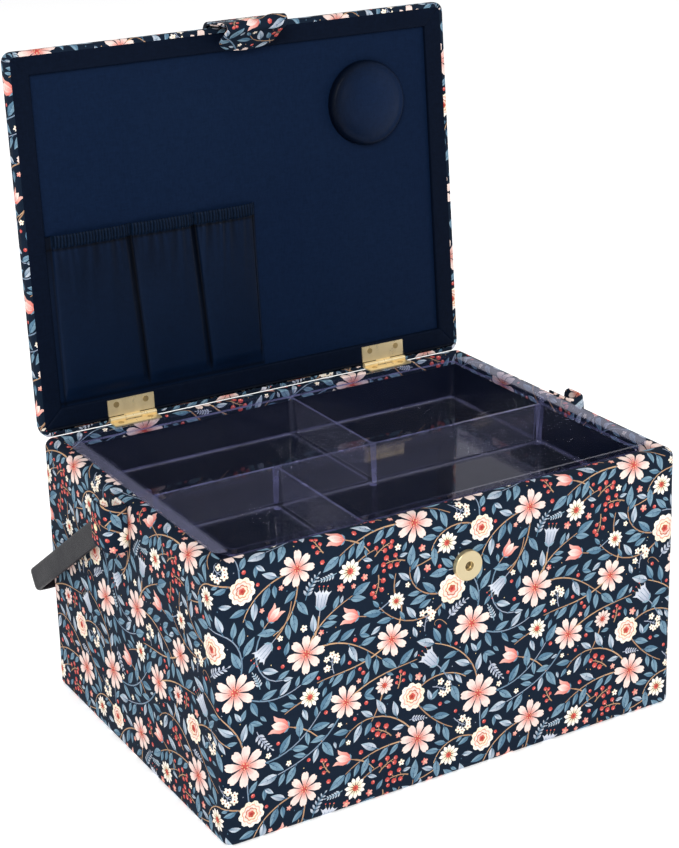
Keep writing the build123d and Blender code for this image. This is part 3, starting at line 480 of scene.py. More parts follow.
INK = {
    "ground": lin("0c1b2c"), "blush": lin("f2dbd2"), "blush2": lin("eeb9ad"), "pink": lin("d98478"),
    "coral": lin("d8625a"), "red": lin("a83a38"), "leaf": lin("86a3b4"), "leaf2": lin("56788f"),
    "vein": lin("2c4c66"), "cream": lin("f7e9cc"), "cream2": lin("e6cf9f"), "twig": lin("a98467"),
    "twig2": lin("c7a27f"), "lilac": lin("9aa3b6"), "lilac2": lin("cdd2dd"), "rust": lin("b5563c"),
    "rust2": lin("d98f6c"), "teal": lin("2f566b"), "white": lin("fbf3ea"),
}


def shape(pts, c0, c1=None, p0=(0, 0), p1=(0, 1)):
    """one inked area: outline, its colour, and a second colour that it fades to from p0 to p1"""
    return [list(pts), c0, c1 or c0, p0, p1]


def blade(l, w, n=5, at=0.5, sharp=1.0, x0=0.0):
    """outline of a leaf or petal along +x, pointed at both ends, widest at the share 'at'"""
    e = math.log(0.5) / math.log(at)
    up = []
    for i in range(1, n):
        t = i / n
        up.append((x0 + l * t, w / 2 * math.sin(math.pi * t ** e) ** sharp))
    return [(x0, 0)] + [(x, -y) for x, y in up] + [(x0 + l, 0)] + up[::-1]


def disc(r, n=8, x=0.0, y=0.0, turn=0.0):
    return [(x + r * math.cos(turn + 2 * math.pi * i / n), y + r * math.sin(turn + 2 * math.pi * i / n)) for i in range(n)]


def lobes(r, n, depth, per=3, turn=0.0):
    """a round outline with n soft lobes"""
    out = []
    for i in range(n * per):
        a = 2 * math.pi * i / (n * per)
        k = abs(math.sin(a * n / 2))
        out.append((r * (1 - depth + depth * k ** 0.8) * math.cos(a + turn), r * (1 - depth + depth * k ** 0.8) * math.sin(a + turn)))
    return out


def place(shapes, x, y, turn=0.0, k=1.0, flip=False):
    ca, sa = math.cos(turn) * k, math.sin(turn) * k
    f = -1 if flip else 1

    def at(p):
        return (x + ca * p[0] - sa * p[1] * f, y + sa * p[0] + ca * p[1] * f)
    return [[[at(p) for p in s[0]], s[1], s[2], at(s[3]), at(s[4])] for s in shapes]


def leaf(l, w, tone=0):
    a, b = (("leaf", "leaf2"), ("leaf2", "leaf"), ("leaf", "teal"), ("lilac2", "leaf"))[tone % 4]
    out = blade(l, w, 5 if l > 9 else 4, 0.42, 0.9)
    n = len(out) // 2
    made = [shape(out[:n + 1], INK[a], INK[b], (0, 0), (l, 0)), shape(out[n:] + [out[0]], INK[a], INK["leaf2"], (l, 0), (0, 0))]
    rib = 0.028 * l ** 0.5 + 0.13
    made.append(shape([(-0.03 * l, -rib), (l * 0.86, 0), (-0.03 * l, rib)], INK["vein"]))
    if l > 11.5:
        for i in range(2):
            t = 0.24 + 0.25 * i
            h = w / 2 * math.sin(math.pi * t ** (math.log(0.5) / math.log(0.42))) ** 0.9
            for s in (-1, 1):
                made.append(shape([(l * t - 0.16, 0), (l * t + 0.2, 0), (l * (t + 0.13), s * h * 0.74)], INK["vein"]))
    return made


def cosmos(r, rng):
    """open flower with eight notched petals"""
    made = []
    t0 = rng.uniform(0, 6.28)
    for i in range(8):
        a = t0 + i * math.pi / 4 + rng.uniform(-0.05, 0.05)
        l = r * rng.uniform(0.92, 1.04)
        w = r * 0.215
        pet = [(0.12 * l, 0.05 * l), (0.34 * l, 0.55 * w), (0.64 * l, 0.98 * w), (0.88 * l, 0.86 * w), (0.99 * l, 0.36 * w),
               (0.93 * l, 0), (1.0 * l, -0.38 * w), (0.86 * l, -0.9 * w), (0.62 * l, -0.95 * w), (0.34 * l, -0.52 * w), (0.12 * l, -0.05 * l)]
        p = [shape(pet, INK["pink"], INK["blush"], (0.14 * l, 0), (0.62 * l, 0))]
        for s, e in ((-0.25, 0.6), (0.25, 0.66)):
            p.append(shape([(0.16 * l, s * w * 0.3 - 0.14), (e * l, s * w), (0.16 * l, s * w * 0.3 + 0.14)], INK["pink"]))
        made += place(p, 0, 0, a)
    made.append(shape(lobes(r * 0.2, 7, 0.22, 2), INK["red"], INK["coral"], (0, -r * 0.2), (0, r * 0.2)))
    for i in range(5):
        made.append(shape(disc(r * 0.036, 4, *[r * 0.13 * f(i * 1.2566) for f in (math.cos, math.sin)]), INK["cream2"]))
    for i in range(8):
        a = i * 0.785 + 0.3
        made.append(shape(disc(r * 0.03, 3, r * 0.29 * math.cos(a), r * 0.29 * math.sin(a)), INK["red"]))
    return made


def daisy(r, rng, warm=False):
    """small flower with eleven narrow petals"""
    made = []
    t0 = rng.uniform(0, 6.28)
    n = 11
    for i in range(n):
        l = r * rng.uniform(0.9, 1.03)
        made += place([shape(blade(l * 0.86, r * 0.36, 4, 0.66, 0.8, 0.14 * l), INK["blush2" if warm else "cream2"], INK["blush" if warm else "white"], (0.2 * l, 0), (0.7 * l, 0))],
                      0, 0, t0 + i * 2 * math.pi / n)
    made.append(shape(disc(r * 0.27, 9), INK["coral"], INK["rust"], (0, 0.2 * r), (0, -0.2 * r)))
    made.append(shape(disc(r * 0.12, 6), INK["red"]))
    return made


def rosette(r, rng):
    """full round flower, rings of scallops"""
    t = rng.uniform(0, 6.28)
    made = [shape(lobes(r, 9, 0.15, 3, t), INK["cream"], INK["white"], (-r, -r), (r * 0.3, r)),]
    for i in range(9):
        a = t + (i + 0.5) * 2 * math.pi / 9
        for s in (-0.1, 0.1):
            made += place([shape([(r * 0.74, -0.13), (r * 0.93, 0), (r * 0.74, 0.13)], INK["rust2"])], 0, 0, a + s)
    made.append(shape(lobes(r * 0.75, 8, 0.16, 3, t + 0.4), INK["rust2"], INK["blush2"], (0, -r), (0, r * 0.5)))
    made.append(shape(lobes(r * 0.66, 8, 0.16, 3, t + 0.4), INK["cream"], INK["blush"], (0, r), (0, -r * 0.5)))
    made.append(shape(lobes(r * 0.5, 7, 0.18, 3, t), INK["rust"], INK["rust2"], (0, -r * 0.5), (0, r * 0.5)))
    made.append(shape(lobes(r * 0.42, 7, 0.18, 3, t), INK["blush2"], INK["cream"], (0, -r * 0.4), (0, r * 0.3)))
    made.append(shape(lobes(r * 0.27, 5, 0.2, 3, t + 0.2), INK["coral"], INK["rust"], (0, -r * 0.2), (0, r * 0.2)))
    made.append(shape(lobes(r * 0.13, 5, 0.2, 2, t), INK["red"]))
    return made


def tulip(h, rng):
    """cup flower seen from the side, along +x, standing on its stalk"""
    w = h * 0.36
    made = [shape([(0, -0.25), (-h * 0.42, -0.35), (-h * 0.42, 0.3), (0, 0.25)], INK["twig"])]
    for s in (-1, 1):
        made.append(shape([(0, 0), (h * 0.12, s * w * 0.62), (h * 0.36, s * w), (h * 0.7, s * w * 1.02), (h * 0.98, s * w * 1.25), (h * 0.86, s * w * 0.62),
                           (h * 0.5, s * w * 0.14)], INK["coral"], INK["blush2"], (0, 0), (h * 0.9, 0)))
    made.append(shape(blade(h * 0.94, w * 1.15, 6, 0.55, 0.8), INK["pink"], INK["blush"], (0, 0), (h * 0.62, 0)))
    for s in (-0.2, 0.2, 0):
        made.append(shape([(h * 0.1, s * w * 0.6 - 0.12), (h * (0.66 if s else 0.76), s * w * 1.2), (h * 0.1, s * w * 0.6 + 0.12)], INK["coral"]))
    for s in (-1, 1):
        made.append(shape([(-0.04 * h, 0), (0.02 * h, s * 0.2 * h), (0.17 * h, s * 0.31 * h), (0.08 * h, s * 0.1 * h)], INK["leaf2"], INK["leaf"], (0, 0), (0, s * h * 0.3)))
    return made


def bell(h, rng):
    """hanging bell flower, along +x"""
    w = h * 0.42
    out = [(0, 0.18 * w), (0.1 * h, 0.6 * w), (0.4 * h, 0.72 * w), (0.72 * h, 0.82 * w), (0.98 * h, 1.2 * w), (0.9 * h, 0.82 * w), (1.03 * h, 0.42 * w), (0.88 * h, 0.2 * w)]
    out = out + [(1.06 * h, 0)] + [(x, -y) for x, y in out[::-1]]
    made = [shape([(0, -0.25), (-h * 0.35, -0.5), (-h * 0.36, 0.05), (0, 0.25)], INK["lilac"])]
    for s in (-0.4, 0, 0.4):
        made.append(shape([(h * 0.9, s * w - 0.16), (h * 1.22, s * w * 1.5), (h * 0.9, s * w + 0.16)], INK["cream2"]))
        made.append(shape(disc(0.5, 5, h * 1.23, s * w * 1.5), INK["coral"]))
    made.append(shape(out, INK["lilac"], INK["lilac2"], (0, 0), (h * 0.9, 0)))
    for s in (-0.42, 0.0, 0.42):
        made.append(shape([(0.12 * h, s * w - 0.1), (0.8 * h, s * w * 1.25 - 0.14), (0.8 * h, s * w * 1.25 + 0.14), (0.12 * h, s * w + 0.1)], INK["leaf2"]))
    for s in (-1, 1):
        made.append(shape([(-0.05 * h, 0), (0.05 * h, s * 0.5 * w), (0.24 * h, s * 0.8 * w), (0.12 * h, s * 0.2 * w)], INK["leaf"]))
    return made


def blossom(r, rng, pale="cream"):
    top = "white" if pale == "cream" else "blush2"
    return [shape(lobes(r, 5, 0.42, 3, rng.uniform(0, 6)), INK[pale], INK[top], (0, -r), (0, r)), shape(disc(r * 0.24, 4), INK["rust" if pale == "cream" else "cream2"])]


def berry(r, rng):
    return [shape(disc(r, 6), INK["coral"], INK["red"], (-r * 0.4, r * 0.4), (r * 0.6, -r)), shape(disc(r * 0.26, 3, -r * 0.36, r * 0.36), INK["blush"])]


def ribbon(pts, w0, w1, ink, ink2=None):
    """a stem along pts, tapering, as one area"""
    a, b = [], []
    n = len(pts)
    for i in range(n):
        x0, y0 = pts[max(i - 1, 0)]
        x1, y1 = pts[min(i + 1, n - 1)]
        l = math.hypot(x1 - x0, y1 - y0) or 1
        w = (w0 + (w1 - w0) * i / (n - 1)) / 2
        nx, ny = -(y1 - y0) / l * w, (x1 - x0) / l * w
        a.append((pts[i][0] + nx, pts[i][1] + ny))
        b.append((pts[i][0] - nx, pts[i][1] - ny))
    return shape(a + b[::-1], INK[ink], INK[ink2 or ink], pts[0], pts[-1])


def arc(x, y, heading, length, bend, steps, curl=0.0):
    """points along a curve that turns by bend per mm, tighter towards its end with curl"""
    pts, h = [(x, y)], heading
    for i in range(steps):
        d = length / steps
        h += (bend + curl * (i / steps) ** 2) * d
        x, y = x + d * math.cos(h), y + d * math.sin(h)
        pts.append((x, y))
    return pts


def berry_sprig(rng, k=1.0):
    b = rng.choice((-1, 1)) * 0.05
    st = arc(0, 0, 0, 12 * k, b, 5)
    made = [ribbon(st, 0.8, 0.4, "twig", "twig2")]
    circles = [(x, y, 0.7) for x, y in st]
    for i, s in ((1, 1), (2, -1), (3, 1), (4, -1), (5, 0)):
        x, y = st[i]
        h = math.atan2(st[i][1] - st[i - 1][1], st[i][0] - st[i - 1][0]) + s * 0.95
        l = (3.4 if s else 1.6) * k
        ex, ey = x + l * math.cos(h), y + l * math.sin(h)
        if s:
            made.append(ribbon([(x, y), (ex, ey)], 0.45, 0.35, "twig"))
        r = rng.uniform(1.35, 1.75) * k
        made += place(berry(r, rng), ex, ey)
        circles.append((ex, ey, r))
    return made, circles


def cream_sprig(rng, k=1.0):
    st = arc(0, 0, 0, 11 * k, rng.choice((-1, 1)) * 0.04, 4)
    made, circles = [ribbon(st, 0.6, 0.4, "lilac")], [(x, y, 0.7) for x, y in st]
    for i, s in ((1, 1), (2, -1), (3, 1), (3, -1), (4, 0)):
        x, y = st[i]
        h = math.atan2(st[i][1] - st[i - 1][1], st[i][0] - st[i - 1][0]) + s * 0.9
        l = (4.6 if s else 2.2) * k
        ex, ey = x + l * math.cos(h), y + l * math.sin(h)
        made.append(ribbon([(x, y), (ex, ey)], 0.4, 0.3, "lilac"))
        r = rng.uniform(2.2, 2.8) * k
        made += place(blossom(r, rng), ex, ey, rng.uniform(0, 6))
        circles.append((ex, ey, r))
    return made, circles


def fern_sprig(rng, k=1.0):
    st = arc(0, 0, 0, 16 * k, rng.choice((-1, 1)) * 0.035, 6)
    ink = rng.choice(("lilac", "leaf2", "leaf"))
    made, circles = [ribbon(st, 0.55, 0.3, ink)], [(x, y, 1.0) for x, y in st]
    for i in range(1, 7):
        x, y = st[i]
        h = math.atan2(st[i][1] - st[i - 1][1], st[i][0] - st[i - 1][0])
        for s in ((-1, 1) if i < 6 else (0,)):
            l = (4.6 - 0.35 * i) * k
            made += place([shape(blade(l, l * 0.42, 3, 0.5, 0.9), INK[ink], INK["lilac2"], (0, 0), (l, 0))], x, y, h + s * 0.8)
            circles.append((x + 0.5 * l * math.cos(h + s * 0.8), y + 0.5 * l * math.sin(h + s * 0.8), l * 0.33))
    return made, circles


def leaf_pair(rng, k=1.0):
    made, circles = [], []
    for s in (-0.5, 0.5):
        l = rng.uniform(7, 9) * k
        made += place(leaf(l, l * 0.42, rng.randrange(4)), 0, 0, s)
        circles += [(0.3 * l * math.cos(s), 0.3 * l * math.sin(s), l * 0.18), (0.62 * l * math.cos(s), 0.62 * l * math.sin(s), l * 0.17), (0.9 * l * math.cos(s), 0.9 * l * math.sin(s), l * 0.07)]
    return made, circles


def one_leaf(rng, k=1.0):
    l = rng.uniform(7, 10) * k
    return leaf(l, l * 0.42, rng.randrange(4)), [(0.28 * l, 0, l * 0.18), (0.6 * l, 0, l * 0.17), (0.9 * l, 0, l * 0.07)]


def small_daisy(rng, k=1.0):
    r = rng.uniform(4.4, 5.4) * k
    return daisy(r, rng, rng.random() < 0.5), [(0, 0, r)]


def one_blossom(rng, k=1.0):
    r = rng.uniform(2.3, 2.9) * k
    return blossom(r, rng, rng.choice(("cream", "coral", "pink"))), [(0, 0, r)]


def one_berry(rng, k=1.0):
    r = rng.uniform(1.2, 1.6) * k
    return berry(r, rng), [(0, 0, r)]


def curl(rng, k=1.0):
    st = arc(0, 0, 0, 13 * k, 0.02, 8, 0.75)
    return [ribbon(st, 0.5, 0.3, rng.choice(("twig", "lilac", "twig2")))], [(x, y, 0.6) for x, y in st]


def make_repeat(seed=7):
    """the shapes of one repeat, lowest layer first"""
    rng = random.Random(seed)
    occ = np.zeros((6000, 3))
    count = [0]
    layers = {0: [], 1: [], 2: [], 3: []}

    def free(circles, gap):
        if not count[0]:
            return True
        o = occ[:count[0]]
        for x, y, r in circles:
            dx = np.abs((o[:, 0] - x + TILE_W / 2) % TILE_W - TILE_W / 2)
            dy = np.abs((o[:, 1] - y + TILE_H / 2) % TILE_H - TILE_H / 2)
            if (dx * dx + dy * dy < (np.maximum(o[:, 2] + r + gap, 0.05)) ** 2).any():
                return False
        return True

    def take(circles):
        for c in circles:
            occ[count[0]] = c
            count[0] += 1

    flowers = []
    wanted = ([("cosmos", 13.4), ("cosmos", 12.8), ("rosette", 9.6), ("cosmos", 12.4), ("cosmos", 12.0), ("rosette", 9.0), ("bell", 12.5), ("cosmos", 11.4), ("bell", 11.5),
               ("berries", 12.0), ("cosmos", 11.0), ("tulip", 12.6), ("creams", 11.0), ("tulip", 12.0), ("rosette", 8.4), ("berries", 12.0), ("cosmos", 11.0), ("bell", 11.6), ("creams", 11.0),
               ("daisy", 7.6), ("tulip", 11.4), ("berries", 11.0), ("daisy", 7.2), ("creams", 10.0), ("tulip", 10.6), ("daisy", 6.8), ("berries", 11.0), ("daisy", 6.4), ("creams", 10.0), ("daisy", 6.0)])
    for kind, size in wanted:
        best = None
        if kind in ("berries", "creams"):
            for _ in range(60):
                x, y, turn = rng.uniform(0, TILE_W), rng.uniform(0, TILE_H), rng.uniform(0, 2 * math.pi)
                made, circles = (berry_sprig if kind == "berries" else cream_sprig)(rng, size / 11)
                ca, sa = math.cos(turn), math.sin(turn)
                cs = [(x + ca * cx - sa * cy, y + sa * cx + ca * cy, r) for cx, cy, r in circles]
                if free(cs, 1.2):
                    layers[2] += place(made, x, y, turn)
                    take(cs)
                    break
            continue
        for _ in range(200):
            x, y = rng.uniform(0, TILE_W), rng.uniform(0, TILE_H)
            turn = rng.uniform(0, 2 * math.pi)
            r = size * (0.93 if kind in ("cosmos", "daisy", "rosette") else 0.62)
            cx, cy = (x, y) if kind in ("cosmos", "daisy", "rosette") else (x + size * 0.5 * math.cos(turn), y + size * 0.5 * math.sin(turn))
            if not free([(cx, cy, r)], 2.2):
                continue
            near = 1e9
            for f in flowers:
                dx = abs((f[1] - cx + TILE_W / 2) % TILE_W - TILE_W / 2)
                dy = abs((f[2] - cy + TILE_H / 2) % TILE_H - TILE_H / 2)
                near = min(near, math.hypot(dx, dy) - f[3] - r - (14 if f[0] == kind else 0))
            score = -abs(near - 9) + rng.uniform(0, 2)
            if best is None or score > best[0]:
                best = (score, x, y, turn, cx, cy, r)
        if best:
            _, x, y, turn, cx, cy, r = best
            made = {"cosmos": lambda: cosmos(size, rng), "daisy": lambda: daisy(size, rng, rng.random() < 0.4), "rosette": lambda: rosette(size, rng),
                    "tulip": lambda: tulip(size, rng), "bell": lambda: bell(size, rng)}[kind]()
            layers[3] += place(made, x, y, turn)
            take([(cx, cy, r)])
            flowers.append((kind, cx, cy, r, x, y, turn, size))
    # stems with leaves
    stem_pts = []
    for kind, cx, cy, r, x, y, turn, size in flowers:
        for b in range(2 if kind in ("cosmos", "rosette") else 1):
            best = None
            for _ in range(24):
                if kind in ("tulip", "bell"):
                    h, sx, sy = turn + math.pi + rng.uniform(-0.15, 0.15), x - size * 0.3 * math.cos(turn), y - size * 0.3 * math.sin(turn)
                else:
                    h = rng.uniform(0, 2 * math.pi)
                    sx, sy = cx + 0.5 * r * math.cos(h), cy + 0.5 * r * math.sin(h)
                pts = arc(sx, sy, h, rng.uniform(36, 60), rng.choice((-1, 1)) * rng.uniform(0.012, 0.04), 20, rng.uniform(-0.05, 0.05))
                hit = 0
                for i, (px, py) in enumerate(pts[4:]):
                    if not free([(px, py, 1.0)], 1.0):
                        hit += 1
                    for q in stem_pts:
                        dx = abs((q[0] - px + TILE_W / 2) % TILE_W - TILE_W / 2)
                        dy = abs((q[1] - py + TILE_H / 2) % TILE_H - TILE_H / 2)
                        if dx * dx + dy * dy < 36:
                            hit += 0.35
                            break
                if best is None or hit < best[0]:
                    best = (hit, pts)
            hit, pts = best
            while len(pts) > 8 and not free([(*pts[-1], 1.0)], 0.6):
                pts = pts[:-1]
            if hit > 9:
                pts = pts[:9]
            ink = rng.choice((("twig", "twig2"), ("twig2", "twig"), ("twig", "twig"), ("leaf2", "lilac")))
            layers[0].append(ribbon(pts[::2] if len(pts) % 2 else pts[:1] + pts[1::2], 1.0, 0.5, *ink))
            stem_pts += pts[3:]
            side = rng.choice((-1, 1))
            for i in range(3, len(pts) - 1, 3):
                side = -side
                px, py = pts[i]
                h = math.atan2(pts[i + 1][1] - py, pts[i + 1][0] - px)
                for l in (rng.uniform(11, 15), 10, 8, 6):
                    done = False
                    for s in (side, -side):
                        t = h + s * rng.uniform(0.55, 0.95)
                        cs = [(px + l * u * math.cos(t), py + l * u * math.sin(t), l * v) for u, v in ((0.34, 0.15), (0.55, 0.17), (0.78, 0.12), (0.97, 0.03))]
                        if free(cs, 0.35):
                            layers[1].append(ribbon([(px, py), (px + 0.2 * l * math.cos(t), py + 0.2 * l * math.sin(t))], 0.6, 0.5, "leaf2"))
                            layers[2] += place(leaf(l * 0.86, l * 0.34, rng.choice((0, 0, 1, 3))), px + 0.14 * l * math.cos(t), py + 0.14 * l * math.sin(t), t)
                            take(cs)
                            done = True
                            break
                    if done:
                        break
            ex, ey = pts[-1]
            h = math.atan2(pts[-1][1] - pts[-2][1], pts[-1][0] - pts[-2][0])
            for l in (13, 9, 6.5):
                cs = [(ex + l * u * math.cos(h), ey + l * u * math.sin(h), l * v) for u, v in ((0.34, 0.15), (0.6, 0.17), (0.9, 0.08))]
                if free(cs, 0.2):
                    layers[2] += place(leaf(l, l * 0.42, rng.randrange(4)), ex, ey, h)
                    take(cs)
                    break
    take([(px, py, 0.55) for px, py in stem_pts])
    # sprigs in the gaps, then single small ones
    fill = ((berry_sprig, 1.0, 1300, 0.9), (cream_sprig, 1.0, 1300, 0.9), (fern_sprig, 1.0, 1000, 0.7), (small_daisy, 1.0, 600, 0.9), (berry_sprig, 0.8, 800, 0.7), (cream_sprig, 0.8, 800, 0.7),
            (leaf_pair, 1.0, 900, 0.6), (fern_sprig, 0.7, 900, 0.5), (one_leaf, 1.0, 900, 0.6), (curl, 1.0, 300, 0.5), (one_blossom, 1.0, 900, 0.8), (one_leaf, 0.65, 1500, 0.5),
            (one_berry, 1.0, 900, 0.8), (one_blossom, 0.7, 700, 0.6))
    most = {berry_sprig: 8, cream_sprig: 7, fern_sprig: 6, small_daisy: 4, leaf_pair: 6, one_leaf: 12, curl: 7, one_blossom: 16, one_berry: 24}
    for make, k, tries, gap in fill:
        got = 0
        for _ in range(tries):
            if got >= most[make]:
                break
            x, y, turn = rng.uniform(0, TILE_W), rng.uniform(0, TILE_H), rng.uniform(0, 2 * math.pi)
            if not free([(x, y, 0.6)], gap):
                continue
            made, circles = make(rng, k)
            ca, sa = math.cos(turn), math.sin(turn)
            cs = [(x + ca * cx - sa * cy, y + sa * cx + ca * cy, r) for cx, cy, r in circles]
            if free(cs, gap):
                layers[2] += place(made, x, y, turn)
                take(cs)
                got += 1
    for _ in range(240):
        x, y = rng.uniform(0, TILE_W), rng.uniform(0, TILE_H)
        if free([(x, y, 0.45)], 1.0):
            layers[2].append(shape(disc(0.42, 4, x, y, rng.uniform(0, 1)), INK[rng.choice(("cream2", "leaf2", "lilac", "twig2"))]))
            take([(x, y, 0.45)])
    return [s for k in sorted(layers) for s in layers[k]]


# ---------------------------------------------------------------- printed cloth
REPEAT = make_repeat(7)
SHAPES = [(np.array(s[0], float), np.array(s[1]), np.array(s[2]), np.array(s[3], float), np.array(s[4], float)) for s in REPEAT]


def printed(outline, lines, offset=(0.0, 0.0), dots=()):
    """flat cloth with the print set into it, in mm: its points, its triangles, and a colour for each corner of each triangle"""
    out = np.array(outline, float)
    lo, hi = out.min(0), out.max(0)
    verts = [tuple(p) for p in out]
    edges = [(i, (i + 1) % len(out)) for i in range(len(out))]
    inks = [(np.array(INK["ground"]), np.array(INK["ground"]), np.zeros(2), np.array((0.0, 1.0)))]
    areas = []
    for line in lines:
        n = len(verts)
        verts += [tuple(p) for p in line]
        edges += [(n + i, n + i + 1) for i in range(len(line) - 1)]
    verts += [tuple(p) for p in dots]
    ti = range(int(math.floor((lo[0] - offset[0] - 40) / TILE_W)), int(math.ceil((hi[0] - offset[0] + 40) / TILE_W)) + 1)
    tj = range(int(math.floor((lo[1] - offset[1] - 40) / TILE_H)), int(math.ceil((hi[1] - offset[1] + 40) / TILE_H)) + 1)
    moves = [np.array((offset[0] + i * TILE_W, offset[1] + j * TILE_H)) for i in ti for j in tj]
    for pts, c0, c1, p0, p1 in SHAPES:
        a, b = pts.min(0), pts.max(0)
        for m in moves:
            if ((a + m) > hi).any() or ((b + m) < lo).any():
                continue
            n = len(verts)
            verts += [tuple(p) for p in pts + m]
            edges += [(n + i, n + (i + 1) % len(pts)) for i in range(len(pts))]
            areas.append(pts + m)
            inks.append((c0, c1, p0 + m, p1 + m))
    co, _, tris, _, _, _ = delaunay_2d_cdt([Vector(v) for v in verts], edges, [], 0, 1e-7, False)
    co = np.array([(v.x, v.y) for v in co])
    tri = np.array([tuple(t) for t in tris], int)
    mid = co[tri].mean(1)
    inside = np.zeros(len(mid), bool)
    for p, q in zip(out, np.roll(out, -1, 0)):
        cross = (p[1] > mid[:, 1]) != (q[1] > mid[:, 1])
        inside ^= cross & (mid[:, 0] < (q[0] - p[0]) * (mid[:, 1] - p[1]) / ((q[1] - p[1]) or 1e-12) + p[0])
    tri, mid = tri[inside], mid[inside]
    # which inked area lies on top of each triangle, found through a grid of 6 mm cells
    cell = 6.0
    ci = np.floor((mid - lo) / cell).astype(int)
    nj = int((hi[1] - lo[1]) / cell) + 2
    order = np.argsort(ci[:, 0] * nj + ci[:, 1], kind="stable")
    keys = (ci[:, 0] * nj + ci[:, 1])[order]
    top = np.zeros(len(tri), int)
    for n, pts in enumerate(areas):
        a, b = np.floor((pts.min(0) - lo) / cell).astype(int), np.floor((pts.max(0) - lo) / cell).astype(int)
        j0, j1 = max(a[1], 0), min(b[1], nj - 1)
        found = []
        for i in range(max(a[0], 0), b[0] + 1):
            f0, f1 = np.searchsorted(keys, (i * nj + j0, i * nj + j1 + 1))
            found.append(order[f0:f1])
        found = np.concatenate(found) if found else np.zeros(0, int)
        if not len(found):
            continue
        m = mid[found]
        p, q = pts, np.roll(pts, -1, 0)
        rise = np.where(np.abs(q[:, 1] - p[:, 1]) < 1e-12, 1e-12, q[:, 1] - p[:, 1])
        cross = (p[:, 1] > m[:, 1:]) != (q[:, 1] > m[:, 1:])
        hit = cross & (m[:, :1] < (q[:, 0] - p[:, 0]) * (m[:, 1:] - p[:, 1]) / rise + p[:, 0])
        top[found[hit.sum(1) % 2 == 1]] = n + 1
    c0 = np.array([k[0] for k in inks])[top]
    c1 = np.array([k[1] for k in inks])[top]
    p0 = np.array([k[2] for k in inks])[top]
    d = np.array([k[3] - k[2] for k in inks])[top]
    corner = co[tri]
    t = ((corner - p0[:, None]) * d[:, None]).sum(2) / np.maximum((d * d).sum(1), 1e-9)[:, None]
    t = np.clip(t, 0, 1)[..., None]
    col = c0[:, None] * (1 - t) + c1[:, None] * t
    area = (corner[:, 1, 0] - corner[:, 0, 0]) * (corner[:, 2, 1] - corner[:, 0, 1]) - (corner[:, 2, 0] - corner[:, 0, 0]) * (corner[:, 1, 1] - corner[:, 0, 1])
    tri[area < 0] = tri[area < 0][:, ::-1]
    col[area < 0] = col[area < 0][:, ::-1]
    return co, tri, col


def cloth_object(name, parts, material):
    """one object from (points in mm, normals, triangles, colours per corner, cloth coordinates in mm) of each part"""
    pos, nor, tri, col, uv = [], [], [], [], []
    n = 0
    for p, m, t, c, w in parts:
        pos.append(p * MM), nor.append(m), tri.append(t + n), col.append(c), uv.append(w[t] * MM)
        n += len(p)
    pos, nor, tri, col, uv = (np.concatenate(a) for a in (pos, nor, tri, col, uv))
    key = np.round(pos * 1e7).astype(np.int64)
    _, first, back = np.unique(key, axis=0, return_index=True, return_inverse=True)
    back = back.reshape(-1)
    pos, nor, tri = pos[first], nor[first], back[tri]
    a, b, c = pos[tri[:, 0]], pos[tri[:, 1]], pos[tri[:, 2]]
    ok = (np.linalg.norm(np.cross(b - a, c - a), axis=1) > 4e-14) & (tri[:, 0] != tri[:, 1]) & (tri[:, 1] != tri[:, 2]) & (tri[:, 0] != tri[:, 2])
    tri, col, uv = tri[ok], col[ok], uv[ok]
    _, once = np.unique(np.sort(tri, axis=1), axis=0, return_index=True)
    once = np.sort(once)
    tri, col, uv = tri[once], col[once], uv[once]
    used, tri = np.unique(tri, return_inverse=True)
    tri = tri.reshape(-1, 3)
    pos, nor = pos[used], nor[used]
    me = bpy.data.meshes.new(name)
    me.vertices.add(len(pos))
    me.vertices.foreach_set("co", pos.astype(np.float32).ravel())
    me.loops.add(len(tri) * 3)
    me.loops.foreach_set("vertex_index", tri.astype(np.int32).ravel())
    me.polygons.add(len(tri))
    me.polygons.foreach_set("loop_start", np.arange(0, len(tri) * 3, 3, dtype=np.int32))
    me.update(calc_edges=True)
    layer = me.uv_layers.new(name="cloth")
    layer.data.foreach_set("uv", uv.astype(np.float32).ravel())
    ink = me.color_attributes.new("ink", "FLOAT_COLOR", "CORNER")
    ink.data.foreach_set("color", np.concatenate([col.reshape(-1, 3), np.ones((len(tri) * 3, 1))], 1).astype(np.float32).ravel())
    me.polygons.foreach_set("use_smooth", [True] * len(tri))
    me.materials.append(material)
    length = np.linalg.norm(nor, axis=1, keepdims=True)
    nor = nor / np.maximum(length, 1e-9)
    me.normals_split_custom_set_from_vertices([tuple(v) for v in nor])
    ob = bpy.data.objects.new(name, me)
    bpy.context.scene.collection.objects.link(ob)
    print(name, len(tri), "triangles")
    return ob


def mapped(co, tri, col, place, flip=False):
    """puts flat cloth in its place, with normals from the surface itself"""
    p = place(co)
    e = 0.05
    du = place(co + (e, 0)) - place(co - (e, 0))
    dv = place(co + (0, e)) - place(co - (0, e))
    n = np.cross(du, dv)
    if flip:
        n, tri, col = -n, tri[:, ::-1], col[:, ::-1]
    return p, n, tri, col, co


# ---- the covering of the box: one strip round the four walls, over the rim and under the base
WALL_X, WALL_Y = W / 2 - CORNER, D / 2 - CORNER
ARC = CORNER * math.pi / 2
PATH = (2 * WALL_X, ARC, 2 * WALL_Y, ARC, 2 * WALL_X, ARC, 2 * WALL_Y, ARC)
PATH_AT = np.concatenate([[0], np.cumsum(PATH)])
PROFILE = (11.0, FOOT * math.pi / 2, 164.3, RIM * math.pi / 2, 3.0, 1.5 * math.pi / 2, 6.5)
PROFILE_AT = np.concatenate([[0], np.cumsum(PROFILE)])


